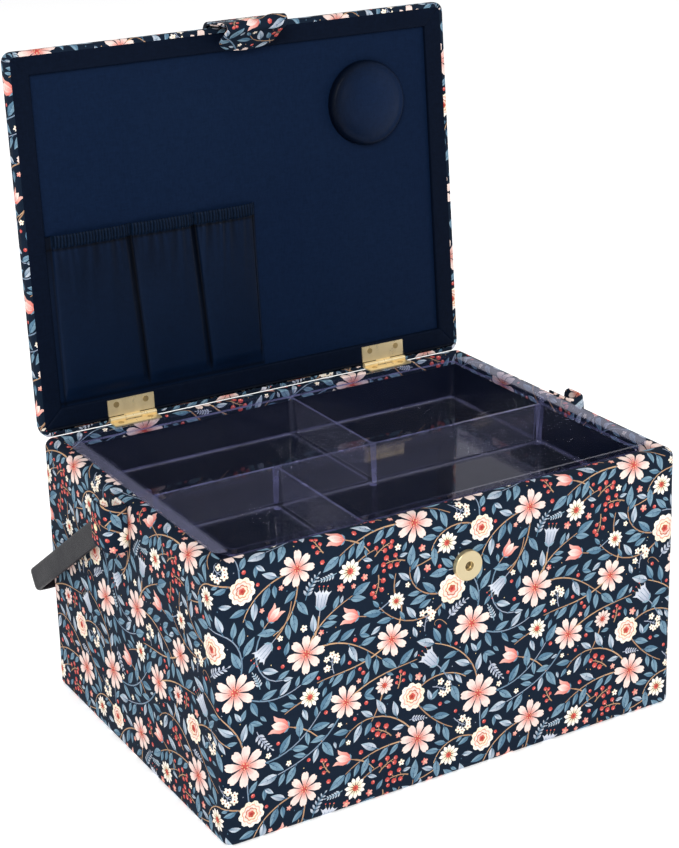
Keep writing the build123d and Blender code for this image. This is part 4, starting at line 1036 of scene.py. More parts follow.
def wall_waves(u, v):
    """slight unevenness of the padded cloth, in mm"""
    edge = step(v, PROFILE_AT[2], PROFILE_AT[2] + 25) * (1 - step(v, PROFILE_AT[3] - 22, PROFILE_AT[3]))
    return (0.26 * noise2(u, v, 5, 46) + 0.12 * noise2(u, v, 6, 17)) * edge


def box_cover_at(p):
    u, v = p[:, 0], p[:, 1]
    t = v - PROFILE_AT[0]
    d = np.where(v < PROFILE_AT[1], 14.0 - t, 0.0)
    z = np.full(len(u), 0.2)
    a = np.clip((v - PROFILE_AT[1]) / FOOT, 0, math.pi / 2)
    k = v >= PROFILE_AT[1]
    d = np.where(k, FOOT - FOOT * np.sin(a), d)
    z = np.where(k, 0.2 + FOOT - FOOT * np.cos(a), z)
    k = v >= PROFILE_AT[2]
    d = np.where(k, 0.0, d)
    z = np.where(k, 3.2 + v - PROFILE_AT[2], z)
    a = np.clip((v - PROFILE_AT[3]) / RIM, 0, math.pi / 2)
    k = v >= PROFILE_AT[3]
    d = np.where(k, RIM - RIM * np.cos(a), d)
    z = np.where(k, H - RIM + RIM * np.sin(a), z)
    k = v >= PROFILE_AT[4]
    d = np.where(k, RIM + v - PROFILE_AT[4], d)
    a = np.clip((v - PROFILE_AT[5]) / 1.5, 0, math.pi / 2)
    k = v >= PROFILE_AT[5]
    d = np.where(k, 8.5 + 1.5 * np.sin(a), d)
    z = np.where(k, H - 1.5 + 1.5 * np.cos(a), z)
    k = v >= PROFILE_AT[6]
    d = np.where(k, 10.0, d)
    z = np.where(k, H - 1.5 - (v - PROFILE_AT[6]), z)
    d = d - wall_waves(u, v)
    x, y = np.zeros(len(u)), np.zeros(len(u))
    over = np.maximum(d - CORNER, 0)
    corners = ((-WALL_X, WALL_Y), (-WALL_X, -WALL_Y), (WALL_X, -WALL_Y), (WALL_X, WALL_Y))
    sides = ((0, 1, -1, 0, WALL_X), (-1, 0, 0, -1, WALL_Y), (0, -1, 1, 0, WALL_X), (1, 0, 0, 1, WALL_Y))
    half = (D / 2, W / 2, D / 2, W / 2)
    for i in range(4):
        s = u - PATH_AT[2 * i]
        k = (s >= -1) & (s <= PATH[2 * i]) if i == 0 else (s >= 0) & (s <= PATH[2 * i])
        nx, ny, tx, ty, h = sides[i]
        along = np.clip(s - h, -(h - over), h - over)
        x = np.where(k, nx * (half[i] - d) + tx * along, x)
        y = np.where(k, ny * (half[i] - d) + ty * along, y)
        s = u - PATH_AT[2 * i + 1]
        k = (s > 0) & (s <= ARC + (1 if i == 3 else 0))
        a = s / CORNER
        ax, ay = nx * np.cos(a) + tx * np.sin(a), ny * np.cos(a) + ty * np.sin(a)
        cx, cy = corners[i]
        r = CORNER - np.minimum(d, CORNER)
        x = np.where(k, cx + ax * r - np.sign(cx) * over, x)
        y = np.where(k, cy + ay * r - np.sign(cy) * over, y)
    return np.stack([x, y, z], 1)


def box_cover_normals(p):
    """outward normals of the covering, from its path and its profile"""
    u, v = p[:, 0], p[:, 1]
    ang = np.zeros(len(u))
    start = math.pi / 2
    for i in range(4):
        s = u - PATH_AT[2 * i]
        ang = np.where((s >= -1) & (s <= PATH[2 * i]), start + i * math.pi / 2, ang)
        s = u - PATH_AT[2 * i + 1]
        ang = np.where((s > 0) & (s <= ARC + 1), start + i * math.pi / 2 + np.clip(s, 0, ARC) / CORNER, ang)
    tilt = np.full(len(u), -math.pi / 2)          # of the normal above level
    tilt = np.where(v >= PROFILE_AT[1], -math.pi / 2 + (v - PROFILE_AT[1]) / FOOT, tilt)
    tilt = np.where(v >= PROFILE_AT[2], 0, tilt)
    tilt = np.where(v >= PROFILE_AT[3], (v - PROFILE_AT[3]) / RIM, tilt)
    tilt = np.where(v >= PROFILE_AT[4], math.pi / 2, tilt)
    tilt = np.where(v >= PROFILE_AT[5], math.pi / 2 + (v - PROFILE_AT[5]) / 1.5, tilt)
    tilt = np.where(v >= PROFILE_AT[6], math.pi, tilt)
    n = np.stack([np.cos(ang) * np.cos(tilt), np.sin(ang) * np.cos(tilt), np.sin(tilt)], 1)
    e = 0.5
    gu = (wall_waves(u + e, v) - wall_waves(u - e, v)) / (2 * e)
    gv = (wall_waves(u, v + e) - wall_waves(u, v - e)) / (2 * e)
    tu = np.stack([-np.sin(ang), np.cos(ang), np.zeros(len(u))], 1)
    tv = np.stack([-np.cos(ang) * np.sin(tilt), -np.sin(ang) * np.sin(tilt), np.cos(tilt)], 1)
    return n - tu * gu[:, None] - tv * gv[:, None]


def bars(values, a, b, axis=0):
    """straight lines across flat cloth at those values"""
    return [[(v, a), (v, b)] if axis == 0 else [(a, v), (b, v)] for v in values]


def steps(a, b, n):
    return [a + (b - a) * i / n for i in range(n + 1)]


u_end, v_end = PATH_AT[-1], PROFILE_AT[-1]
lines = []
for i in range(4):
    lines += bars(steps(PATH_AT[2 * i + 1], PATH_AT[2 * i + 2], 6)[: 7 if i < 3 else 6], 0, v_end)
for i, n in ((1, 4), (3, 7), (5, 3)):
    lines += bars(steps(PROFILE_AT[i], PROFILE_AT[i + 1], n), 0, u_end, 1)
dots = [(x + 3 * math.sin(y), y + 3 * math.cos(x)) for x in np.arange(12, u_end - 5, 14.0) for y in np.arange(28, 172, 14.0)]
seam = PATH_AT[1]
for label, ua, ub, boards in (("box_print_cover", seam, u_end, ["front_board", "left_board", "right_board"]), ("box_print_cover_back", 0.0, seam, ["back_board"])):
    own = [[(min(max(x, ua), ub), y) for x, y in l] for l in lines if min(x for x, _ in l) < ub and max(x for x, _ in l) > ua]
    co, tri, col = printed([(ua, 0), (ub, 0), (ub, v_end), (ua, v_end)], own, (9.0, 31.0), [(x, y) for x, y in dots if ua + 2 < x < ub - 2])
    box_cover = cloth_object(label, [(box_cover_at(co), box_cover_normals(co), tri, col, co)], COTTON)
    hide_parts("outer_cover")
    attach(box_cover, "box")

# ---- the covering of the lid, over its padding and round its edges on to the inner face
CORE_X, CORE_S = LID_W / 2 - 6.5, (LID_S1 - LID_S0) / 2 - 6.5
LID_OUT = (2.0, 4.5 * math.pi / 2, 3.5, 2.0 * math.pi / 2, 1.2)
LID_OUT_AT = np.concatenate([[0], np.cumsum(LID_OUT)])


def lid_crown(p, q):
    a, b = np.clip(np.abs(p) / (CORE_X + 2), 0, 1), np.clip(np.abs(q) / (CORE_S + 2), 0, 1)
    return 1.5 * (1 - a ** 4) * (1 - b ** 4) + 0.3 * noise2(p, q, 8, 42) * (1 - a ** 6) * (1 - b ** 6)


def lid_cover_at(c):
    p, q = c[:, 0], c[:, 1]
    cp, cq = np.clip(p, -CORE_X, CORE_X), np.clip(q, -CORE_S, CORE_S)
    dx, dy = p - cp, q - cq
    r = np.hypot(dx, dy)
    ux, uy = dx / np.maximum(r, 1e-9), dy / np.maximum(r, 1e-9)
    e = np.minimum(r, 2.0)
    i = np.full(len(p), -12.0)
    a = np.clip((r - 2.0) / 4.5, 0, math.pi / 2)
    e, i = np.where(r > 2.0, 2.0 + 4.5 * np.sin(a), e), np.where(r > 2.0, -7.5 - 4.5 * np.cos(a), i)
    k = r > LID_OUT_AT[2]
    e, i = np.where(k, 6.5, e), np.where(k, -7.5 + r - LID_OUT_AT[2], i)
    a = np.clip((r - LID_OUT_AT[3]) / 2.0, 0, math.pi / 2)
    k = r > LID_OUT_AT[3]
    e, i = np.where(k, 4.5 + 2.0 * np.cos(a), e), np.where(k, -4.0 + 2.0 * np.sin(a), i)
    k = r > LID_OUT_AT[4]
    e, i = np.where(k, 4.5 - (r - LID_OUT_AT[4]), e), np.where(k, -2.0, i)
    i = i - np.where(r <= 2.0, lid_crown(p, q), 0)
    hang = 2.6 * step(r, 0.0, 4.0) * np.clip(-uy, 0, 1)      # slack cloth along the hinge side
    return lid_at(-(cp + ux * e), cq + uy * e - hang + LID_SM, i) / MM


def lid_outline(r, n=8):
    out = []
    for cx, cy, a0 in ((CORE_X, CORE_S, 0), (-CORE_X, CORE_S, 90), (-CORE_X, -CORE_S, 180), (CORE_X, -CORE_S, 270)):
        for k in range(n + 1):
            a = math.radians(a0 + 90 * k / n)
            out.append((cx + r * math.cos(a), cy + r * math.sin(a)))
    return out


rings = [2.0] + steps(LID_OUT_AT[1], LID_OUT_AT[2], 6)[1:] + steps(LID_OUT_AT[3], LID_OUT_AT[4], 4)
lines = [lid_outline(r) + [lid_outline(r)[0]] for r in rings]
inner, outer = lid_outline(2.0), lid_outline(LID_OUT_AT[5])
lines += [[a, b] for a, b in zip(inner, outer)]
dots = [(x, y) for x in np.arange(-147, 148, 14.0) for y in np.arange(-110, 111, 14.0)]
co, tri, col = printed(outer, lines, (64.0, 52.0), dots)
lid_cover = cloth_object("lid_print_cover", [mapped(co, tri, col, lid_cover_at)], COTTON)
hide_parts("lid_cover")
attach(lid_cover, "lid")

# ---- satin border of the lid's inner face: four strips, mitred at the corners
BAND_PROFILE = ((2.9, -2.35), (3.1, -2.08), (3.6, -2.0), (5.0, -1.98), (9.0, -1.96), (13.4, -1.94), (14.6, -2.0), (15.1, -2.25), (15.4, -2.8), (15.5, -3.6), (15.5, -5.1))
pts, faces = [], []
for side in range(4):
    half = (LID_W / 2, (LID_S1 - LID_S0) / 2)[side % 2]
    across = ((LID_S1 - LID_S0) / 2, LID_W / 2)[side % 2]
    n_along = (160, 122)[side % 2]
    ts = np.concatenate([[-1.0, -0.9985, -0.995, -0.99], np.linspace(-0.98, 0.98, n_along), [0.99, 0.995, 0.9985, 1.0]])
    start = len(pts)
    for t in ts:
        for d, i in BAND_PROFILE:
            reach = half - d
            a = t * reach
            gap = reach - abs(a)
            w = 0.03 * noise2(a + 300 * side, d * 3, 21, 7) + 0.04 * noise2(a + 300 * side, d, 22, 26)
            dip = 0.5 * math.exp(-(gap / 0.8) ** 2)
            flat_zone = float(step(d, 3.4, 5.0) * (1 - step(d, 12.5, 14.4)))
            i2 = i + float(w) * flat_zone - dip * (0.3 + 0.7 * flat_zone)
            b = -(across - d)
            x, s = ((a, b), (-b, a), (-a, -b), (b, -a))[side]
            pts.append(lid_at(x, LID_SM + s, i2))
    faces += grid_faces(len(ts), len(BAND_PROFILE), start=start)
band = new_mesh("lid_satin_border", pts, faces, [SATIN_BAND])
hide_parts("lid_border_lining")
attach(band, "lid")

# ---- satin panel inside the border
xs, ss = np.linspace(-146.0, 146.0, 118), np.linspace(-108.0, 108.0, 88)
X, S = np.meshgrid(xs, ss, indexing="ij")
edge = np.minimum(146.0 - np.abs(X), 108.0 - np.abs(S))
puff = step(edge, 0.0, 7.0)
hgt = PANEL_I - 0.5 + 0.5 * puff + (0.20 * noise2(X, S, 31, 38) + 0.10 * noise2(X * 0.6 + S * 0.4, S, 32, 13)) * puff
# the cloth draws in a little round the cushion
r = np.hypot(X - 95.0, S + LID_SM - 181.5)
hgt = hgt - 0.15 * np.exp(-((r - 30.0) / 2.5) ** 2) + 0.03 * np.sin(np.arctan2(S + LID_SM - 181.5, X - 95.0) * 17) * np.exp(-((r - 34.0) / 5.0) ** 2)
panel = new_mesh("lid_satin_panel", lid_at(X, S + LID_SM, hgt).reshape(-1, 3), grid_faces(118, 88), [SATIN_PANEL])
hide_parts("lid_lining_panel")
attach(panel, "lid")

# ---- pocket: gathered satin in three pouches, closed at the left, right and bottom
POCKET = (-145.0, 4.5, 13.6, 126.0)
SEAMS = (-141.2, -86.0, -40.0, 4.0)
rng = np.random.RandomState(12)
folds = []           # each soft vertical fold: where, how wide, how high, how far down it runs, its slant
x = -139.0
while x < 3.0:
    folds.append((x, rng.uniform(1.4, 2.4), rng.uniform(0.6, 1.7), rng.uniform(14, 34), rng.uniform(-0.08, 0.08)))
    x += rng.uniform(4.4, 7.6)


def pocket_waves(x, down):
    """the soft pleats under the elastic, fading on their way down"""
    waves = np.zeros_like(x)
    for fx, fw, fh, fl, fs in folds:
        at = fx + fs * down
        wide = fw * (1 + 0.9 * down / 100)
        waves += fh * np.exp(-((x - at) / wide) ** 2) * np.exp(-(np.maximum(down - 3, 0) / fl) ** 1.6)
    return waves


def pocket_height(x, s):
    """height of the pocket's cloth above the inner panel, in mm"""
    down = 126.0 - s
    rise = step(s, 16.8, 27.0)
    h = np.zeros_like(x) + 0.9
    for a, b in zip(SEAMS[:-1], SEAMS[1:]):
        slant = 0.05 * down
        aa = a + (slant if a > SEAMS[0] else 0.0)
        bb = b + (slant if b < SEAMS[-1] else 0.0)
        t = np.clip((x - aa) / (bb - aa), 0, 1)
        left = step(x - aa, 0.0, 1.6 if a == SEAMS[0] else 0.9)
        right = step(bb - x, 0.0, 5.5 if b < SEAMS[-1] else 2.6)
        full = 3.5 * (4 * t * (1 - t)) ** 0.3 * left * right
        h = np.where((x >= aa) & (x < bb), 0.9 + full * rise, h)
    body = np.clip((h - 0.9) / 3.5, 0, 1)
    waves = pocket_waves(x, down)
    h = h + (waves * 0.85 - 0.35) * body + 0.35 * noise2(x, s * 0.5, 41, 15) * body
    # hem below the elastic
    h = h - 0.45 * np.exp(-((down - 8.6) / 0.8) ** 2) * body
    return h


def pocket_i(x, s):
    h = pocket_height(x, s)
    # low over the tray's walls when the lid is shut
    low = np.minimum(step(x, -141.6, -139.4), step(s, 17.0, 19.6))
    return PANEL_I + np.minimum(h, 0.9 + 6.1 * low)


xs = np.concatenate([np.linspace(-145.0, -142.0, 5)[:-1], np.linspace(-142.0, 4.5, 330)])
ss = np.concatenate([np.linspace(13.6, 30.0, 26)[:-1], np.linspace(30.0, 112.0, 56)[:-1], np.linspace(112.0, 126.0, 20)])
X, S = np.meshgrid(xs, ss, indexing="ij")
top = lid_at(X, S, pocket_i(X, S))
under = lid_at(X, S, pocket_i(X, S) - 0.55)
pocket = shell_grid("pocket_gathered", top, under, len(xs), len(ss), [SATIN_POCKET])
shade = np.ones_like(X)
for at in SEAMS[1:-1]:                       # the cloth lies in deep shade where the pouches meet
    line_x = at + 0.05 * (126.0 - S)
    wide = 4.4 - 3.0 * (126.0 - S) / 112.0
    shade = shade * (1 - 0.82 * np.exp(-(np.minimum(X - line_x, 0) / wide) ** 2 - (np.maximum(X - line_x, 0) / 0.8) ** 2) * step(S, 15.0, 24.0))
# painted light and shade: slopes that face left are lighter, slopes that face right darker
slope = np.gradient(pocket_i(X, S), xs, axis=0)
shade = shade * np.clip(1 + 0.45 * slope, 0.5, 1.5)
# painted shade in the valleys between the pleats and slightly lighter ridges, fading down from the elastic
valley = np.clip(1 - pocket_waves(X, 126.0 - S) / 0.7, 0, 1) * np.exp(-(np.maximum(118.0 - S, 0) / 15.0) ** 1.3)
shade = shade * (1.12 - 0.62 * valley) * (1 + 0.10 * noise2(X, S, 47, 24))
# painted shadow lines under the elastic, along the bottom seam and along the left seam
shade = shade * (1 - 0.7 * np.exp(-((S - 117.2) / 0.9) ** 2)) * (1 - 0.6 * np.exp(-((S - 16.5) / 1.4) ** 2)) * (1 - 0.5 * np.exp(-((X + 141.0) / 0.8) ** 2))
shades = np.concatenate([shade.reshape(-1), shade.reshape(-1)])
ink = pocket.data.color_attributes.new("shade", "FLOAT_COLOR", "POINT")
ink.data.foreach_set("color", np.stack([shades, shades, shades, np.ones(len(shades))], 1).astype(np.float32).ravel())
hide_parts("pocket_panel")
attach(pocket, "lid")

# elastic sewn along the mouth, in fine ribs
xs = np.linspace(-140.8, 4.4, 760)
ss = np.concatenate([[118.2], np.linspace(118.5, 125.9, 8), [126.3]])
X, S = np.meshgrid(xs, ss, indexing="ij")
phase = X / 2.15 + 0.12 * noise2(X, S, 44, 9) + 0.05 * noise2(X, S * 3, 45, 3)
rib = np.abs(np.sin(math.pi * phase)) ** 0.8
base = pocket_i(X, np.clip(S, 118.2, 125.8))
smooth = np.stack([np.convolve(np.pad(base[:, k], 4, mode="edge"), np.ones(9) / 9, "valid") for k in range(base.shape[1])], 1)
roundoff = np.sqrt(np.clip(1 - ((S - 122.25) / 4.06) ** 4, 0, 1))
hgt = np.minimum(smooth + 0.15 + (0.10 + 0.90 * rib) * 1.05 * roundoff, 3.4)
low = np.minimum(step(X, -141.3, -139.6), 1.0)
hgt = PANEL_I + (hgt - PANEL_I) * (0.35 + 0.65 * low)
top = lid_at(X, S, hgt)
under = lid_at(X, S, np.minimum(smooth, hgt) - 0.25)
elastic = shell_grid("pocket_ribbed_elastic", top, under, len(xs), len(ss), [ELASTIC])
# painted shade in the grooves between the ribs and painted highlights on their crests
shades = (0.34 + 0.72 * rib ** 1.4).reshape(-1)
shades = np.concatenate([shades, shades])
ink = elastic.data.color_attributes.new("shade", "FLOAT_COLOR", "POINT")
ink.data.foreach_set("color", np.stack([shades, shades, shades, np.ones(len(shades))], 1).astype(np.float32).ravel())
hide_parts("pocket_elastic")
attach(elastic, "lid")

# ---- pincushion: a round of satin over stuffing, blown up by a short simulation, then gathered at its edge
CUSHION = (95.0, 181.5, 28.6)


def cushion_mesh():
    nr, na = 26, 120
    pts, faces = [(0.0, 0.0, 13.2)], []
    for i in range(1, nr + 1):
        r = i / nr
        z = 13.2 * math.sqrt(max(1 - r ** 2.35, 0)) * (1 - 0.04 * r)
        pts += [(CUSHION[2] * r * math.cos(2 * math.pi * k / na), CUSHION[2] * r * math.sin(2 * math.pi * k / na), z) for k in range(na)]
    faces += [(0, 1 + k, 1 + (k + 1) % na) for k in range(na)]
    for i in range(nr - 1):
        a, b = 1 + i * na, 1 + (i + 1) * na
        faces += [(a + k, b + k, b + (k + 1) % na, a + (k + 1) % na) for k in range(na)]
    return np.array(pts) * MM, faces, nr, na


pts, faces, nr, na = cushion_mesh()
pillow = new_mesh("pincushion_satin", pts, faces, [SATIN_CUSHION])
rim = pillow.vertex_groups.new(name="rim")
rim.add(list(range(1 + (nr - 1) * na, 1 + nr * na)), 1.0, "REPLACE")
bpy.context.view_layer.objects.active = pillow
cloth = pillow.modifiers.new("Cloth", "CLOTH")
cs = cloth.settings
cs.quality = 6
cs.mass = 0.15
cs.tension_stiffness = 30
cs.compression_stiffness = 12
cs.bending_stiffness = 0.3
cs.use_pressure = True
cs.uniform_pressure_force = 3.0
cs.vertex_group_mass = "rim"
cs.effector_weights.gravity = 0
cs.shrink_min = -0.05
cloth.collision_settings.use_collision = False
cloth.point_cache.frame_start, cloth.point_cache.frame_end = 1, 18
for f in range(1, 19):
    bpy.context.scene.frame_set(f)
got = pillow.evaluated_get(bpy.context.evaluated_depsgraph_get())
sim = np.array([v.co for v in got.data.vertices])
pillow.modifiers.remove(cloth)
bpy.context.scene.frame_set(1)
move = sim - pts
size = np.linalg.norm(move, axis=1, keepdims=True)
pts = pts + move * np.minimum(1, 1.6 * MM / np.maximum(size, 1e-9))
loc = pts / MM
rr = np.hypot(loc[:, 0], loc[:, 1]) / CUSHION[2]
th = np.arctan2(loc[:, 1], loc[:, 0])
pleat = np.sin(th * 37 + 2.2 * np.sin(th * 3 + 0.6) + 0.8 * np.sin(th * 7)) * 0.5 + 0.5 * np.sin(th * 23 + 1.7 * np.sin(th * 4))
near = step(rr, 0.62, 0.985)
loc[:, 2] = loc[:, 2] - 0.10 * near * (0.5 - 0.5 * pleat) * (1 - step(rr, 0.985, 1.02)) + 0.16 * noise2(loc[:, 0], loc[:, 1], 61, 15) * (1 - near)
push = 1 + 0.003 * near * pleat
cu = lid_at(CUSHION[0] + loc[:, 0] * push, CUSHION[1] + loc[:, 1] * push, PANEL_I - 0.35 + loc[:, 2])
pillow.data.vertices.foreach_set("co", cu.astype(np.float32).ravel())
pillow.data.update()
for m in [*pillow.modifiers]:
    pillow.modifiers.remove(m)
# painted light and shade: the dome is lighter where it faces a fixed light direction and darker where it turns away,
# most at its rim
flat_r = np.clip(np.hypot(pts[:, 0], pts[:, 1]) / (CUSHION[2] * MM), 0.02, 0.97)
fall = 13.2 / CUSHION[2] * 1.175 * flat_r ** 1.35 / np.sqrt(1 - flat_r ** 2.35)
nx, ns = fall * np.cos(th), fall * np.sin(th)
facing = (0.42 * nx + 0.02 * ns + 1.0) / np.sqrt(nx * nx + ns * ns + 1) / 1.085
shades = np.clip(0.22 + 0.92 * np.clip(facing, 0, 1) ** 2.2, 0, 1.12)
ink = pillow.data.color_attributes.new("shade", "FLOAT_COLOR", "POINT")
ink.data.foreach_set("color", np.stack([shades, shades, shades, np.ones(len(shades))], 1).astype(np.float32).ravel())
sub = pillow.modifiers.new("Subdivision", "SUBSURF")
sub.levels = sub.render_levels = 1
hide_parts("pincushion")
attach(pillow, "lid")


# ---- two-sided printed pieces: the closure tab and the handle's loops
def edge_distance(p, outline):
    out = np.array(outline, float)
    d = np.full(len(p), 1e9)
    for a, b in zip(out, np.roll(out, -1, 0)):
        ab = b - a
        t = np.clip(((p - a) @ ab) / max(ab @ ab, 1e-12), 0, 1)
        d = np.minimum(d, np.linalg.norm(p - a - t[:, None] * ab, axis=1))
    return d


def inset(outline, d):
    """the outline drawn in by d"""
    out = np.array(outline, float)
    n = len(out)
    res = []
    for i in range(n):
        a, b, c = out[i - 1], out[i], out[(i + 1) % n]
        e0, e1 = (b - a) / np.linalg.norm(b - a), (c - b) / np.linalg.norm(c - b)
        n0, n1 = np.array((-e0[1], e0[0])), np.array((-e1[1], e1[0]))
        m = n0 + n1
        m = m / (m @ m) * 2
        res.append(tuple(b + m * d))
    return res


def double_cloth(name, outline, lines, mid, half_t, round_r, offsets, puff=None):
    """a flat piece of two layers with a rounded edge all round; mid gives its middle surface and normal"""
    rings = [inset(outline, round_r * k) for k in (0.06, 0.25, 0.55, 1.0)]
    parts = []
    for sign, off in ((1, offsets[0]), (-1, offsets[1])):
        co, tri, col = printed(outline, lines + [r + [r[0]] for r in rings], off)

        def place(c):
            d = edge_distance(c, outline)
            k = np.sqrt(np.clip(1 - (1 - np.clip(d / round_r, 0, 1)) ** 2, 0, 1))
            p, n = mid(c)
            t = half_t * k
            if puff is not None:
                t = t + puff(c, d, sign)
            return p + n * (sign * t)[:, None]
        p, n, t, c, uv = mapped(co, tri, col, place)
        if (n * mid(co)[1]).sum() * sign < 0:
            n, t, c = -n, t[:, ::-1], c[:, ::-1]
        on_edge = edge_distance(co, outline) < 0.02
        if on_edge.any():
            q = co[on_edge]
            centre = np.array(outline).mean(0)
            pull = (centre - q) * (0.4 / np.maximum(np.linalg.norm(centre - q, axis=1), 1e-9))[:, None]
            n[on_edge] = mid(q)[0] - mid(q + pull)[0]
        parts.append((p, n, t, c, uv))
    return cloth_object(name, parts, COTTON)


TAB_W, TAB_S, TAB_T = 44.0, 246.0, 2.4
FOLD_I, SKEW, FOLD = 24.0, math.radians(4.0), math.radians(140.0)
TAB_X = 3.5
ROOT_LEN = 246.0 - 5.2 - 224.0            # flat run on the lid's outer face
BEND_R = 5.2
BEND_LEN = BEND_R * math.pi / 2
I_BEND_END = -12.0 - 1.2 + BEND_R         # where the tab stands square to the lid
# flat cloth: a across, l along, l = 0 at the stitched end
L_FOLD = ROOT_LEN + BEND_LEN + (FOLD_I - I_BEND_END)


def tab_mid(c):
    a, l = c[:, 0], c[:, 1]
    # the run on the lid, then the bend, then out over the edge
    t = np.clip((l - ROOT_LEN) / BEND_R, 0, math.pi / 2)
    s = 224.0 + np.minimum(l, ROOT_LEN) + BEND_R * np.sin(t)
    i = -13.2 + BEND_R * (1 - np.cos(t)) + np.maximum(l - ROOT_LEN - BEND_LEN, 0)
    ns, ni = np.sin(t), -np.cos(t)        # outward: up off the lid's face, then away along the lid
    x = a.copy()
    nx = np.zeros(len(a))
    # roll over the slanting fold
    cs, sn = math.cos(SKEW), math.sin(SKEW)
    w = (i - FOLD_I) * cs + x * sn        # past the fold line, square to it
    k = l > ROOT_LEN + BEND_LEN
    rho = 2.1
    reach = rho * math.tan(FOLD / 2)
    f = np.clip((w + reach) / (2 * reach), 0, 1)
    ang = np.where(k, f * FOLD, 0)
    # distance along the old plane (forward) and down
    fwd = np.where(w < -reach, w, np.where(w > reach, -reach + rho * math.sin(FOLD) + (w - reach) * math.cos(FOLD), -reach + rho * np.sin(ang)))
    down = np.where(w < -reach, 0, np.where(w > reach, rho * (1 - math.cos(FOLD)) + (w - reach) * math.sin(FOLD), rho * (1 - np.cos(ang))))
    fwd, down = np.where(k, fwd, w), np.where(k, down, 0)
    x2 = x + (fwd - w) * sn
    i2 = i + (fwd - w) * cs
    s2 = s - down
    # soft creases where the cloth is bent
    g = step(i, 2.0, 14.0) * (1 - step(w, reach + 8, reach + 26))
    crease = (0.8 * np.sin((x * 0.9 - i * 0.5) / 3.1 + 1.0) * np.exp(-((w + 5) / 7.0) ** 2) + 0.45 * noise2(x, i, 71, 6)) * g * (1 - np.abs(a / 22.0) ** 6)
    side_on = step(x, -16.0, 14.0)
    crease = crease + (0.8 + 2.6 * side_on) * np.exp(-((w + 2.5) / 6.5) ** 2) * g      # the roll stands out from the fold, most at its right
    n_i = np.where(k, np.sin(ang) * cs, ni)
    n_x = np.where(k, np.sin(ang) * sn, nx)
    n_s = np.where(k, np.cos(ang), ns)
    pos = lid_at(TAB_X + x2 + crease * n_x, s2 + crease * n_s, i2 + crease * n_i) / MM
    o = lid_at(0.0, 0.0, 0.0) / MM
    nor = lid_at(n_x, n_s, n_i) / MM - o
    return pos, nor


end = L_FOLD - FOLD_I                      # so that end + i gives the flat length
tab_outline = [(-22, 0.0), (22, 0.0), (22, end + 40.0), (21.2, end + 43.6), (18.5, end + 46.8), (15, end + 49.2), (12, end + 50.6), (6, end + 51.7), (0, end + 52.0),
               (-6, end + 51.7), (-12, end + 50.6), (-15, end + 49.2), (-18.5, end + 46.8), (-21.2, end + 43.6), (-22, end + 40.0)]
lines = bars(steps(ROOT_LEN, ROOT_LEN + BEND_LEN, 6), -21.95, 21.95, 1)
for k in range(-10, 11):
    w = k * 0.75
    pts_l = [(a, end + FOLD_I - a * math.tan(SKEW) + w / math.cos(SKEW)) for a in (-21.95, 21.95)]
    lines.append(pts_l)
lines += bars([-18, -14, -10, -6, -2, 2, 6, 10, 14, 18], ROOT_LEN + 2, end + 50.3)
lines += bars([end + v for v in range(-4, 50, 4)], -21.9, 21.9, 1)
tab = double_cloth("closure_tab_print", tab_outline, lines, tab_mid, 1.15, 1.3, ((12.0, 40.0), (70.0, 95.0)))
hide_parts("tab_root", "tab_flap")
# the bend between lid and flap is measured along the cloth, with the tab laid out straight, and the cloth is then folded again
n_loops = len(tab.data.loops)
at_loop, cloth_uv = np.zeros(n_loops, int), np.zeros(n_loops * 2)
tab.data.loops.foreach_get("vertex_index", at_loop)
tab.data.uv_layers["cloth"].data.foreach_get("uv", cloth_uv)
cloth_uv = cloth_uv.reshape(-1, 2) / MM
folded = np.zeros(len(tab.data.vertices) * 3)
tab.data.vertices.foreach_get("co", folded)
past = np.zeros(len(tab.data.vertices))
past[at_loop] = (cloth_uv[:, 1] - L_FOLD) * math.cos(SKEW) + cloth_uv[:, 0] * math.sin(SKEW)
straight = np.stack([np.zeros(len(past)), np.zeros(len(past)), past * MM], 1)
tab.data.vertices.foreach_set("co", straight.astype(np.float32).ravel())
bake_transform(tab)
tab.data.vertices.foreach_set("co", folded.astype(np.float32))
tab.data.update()

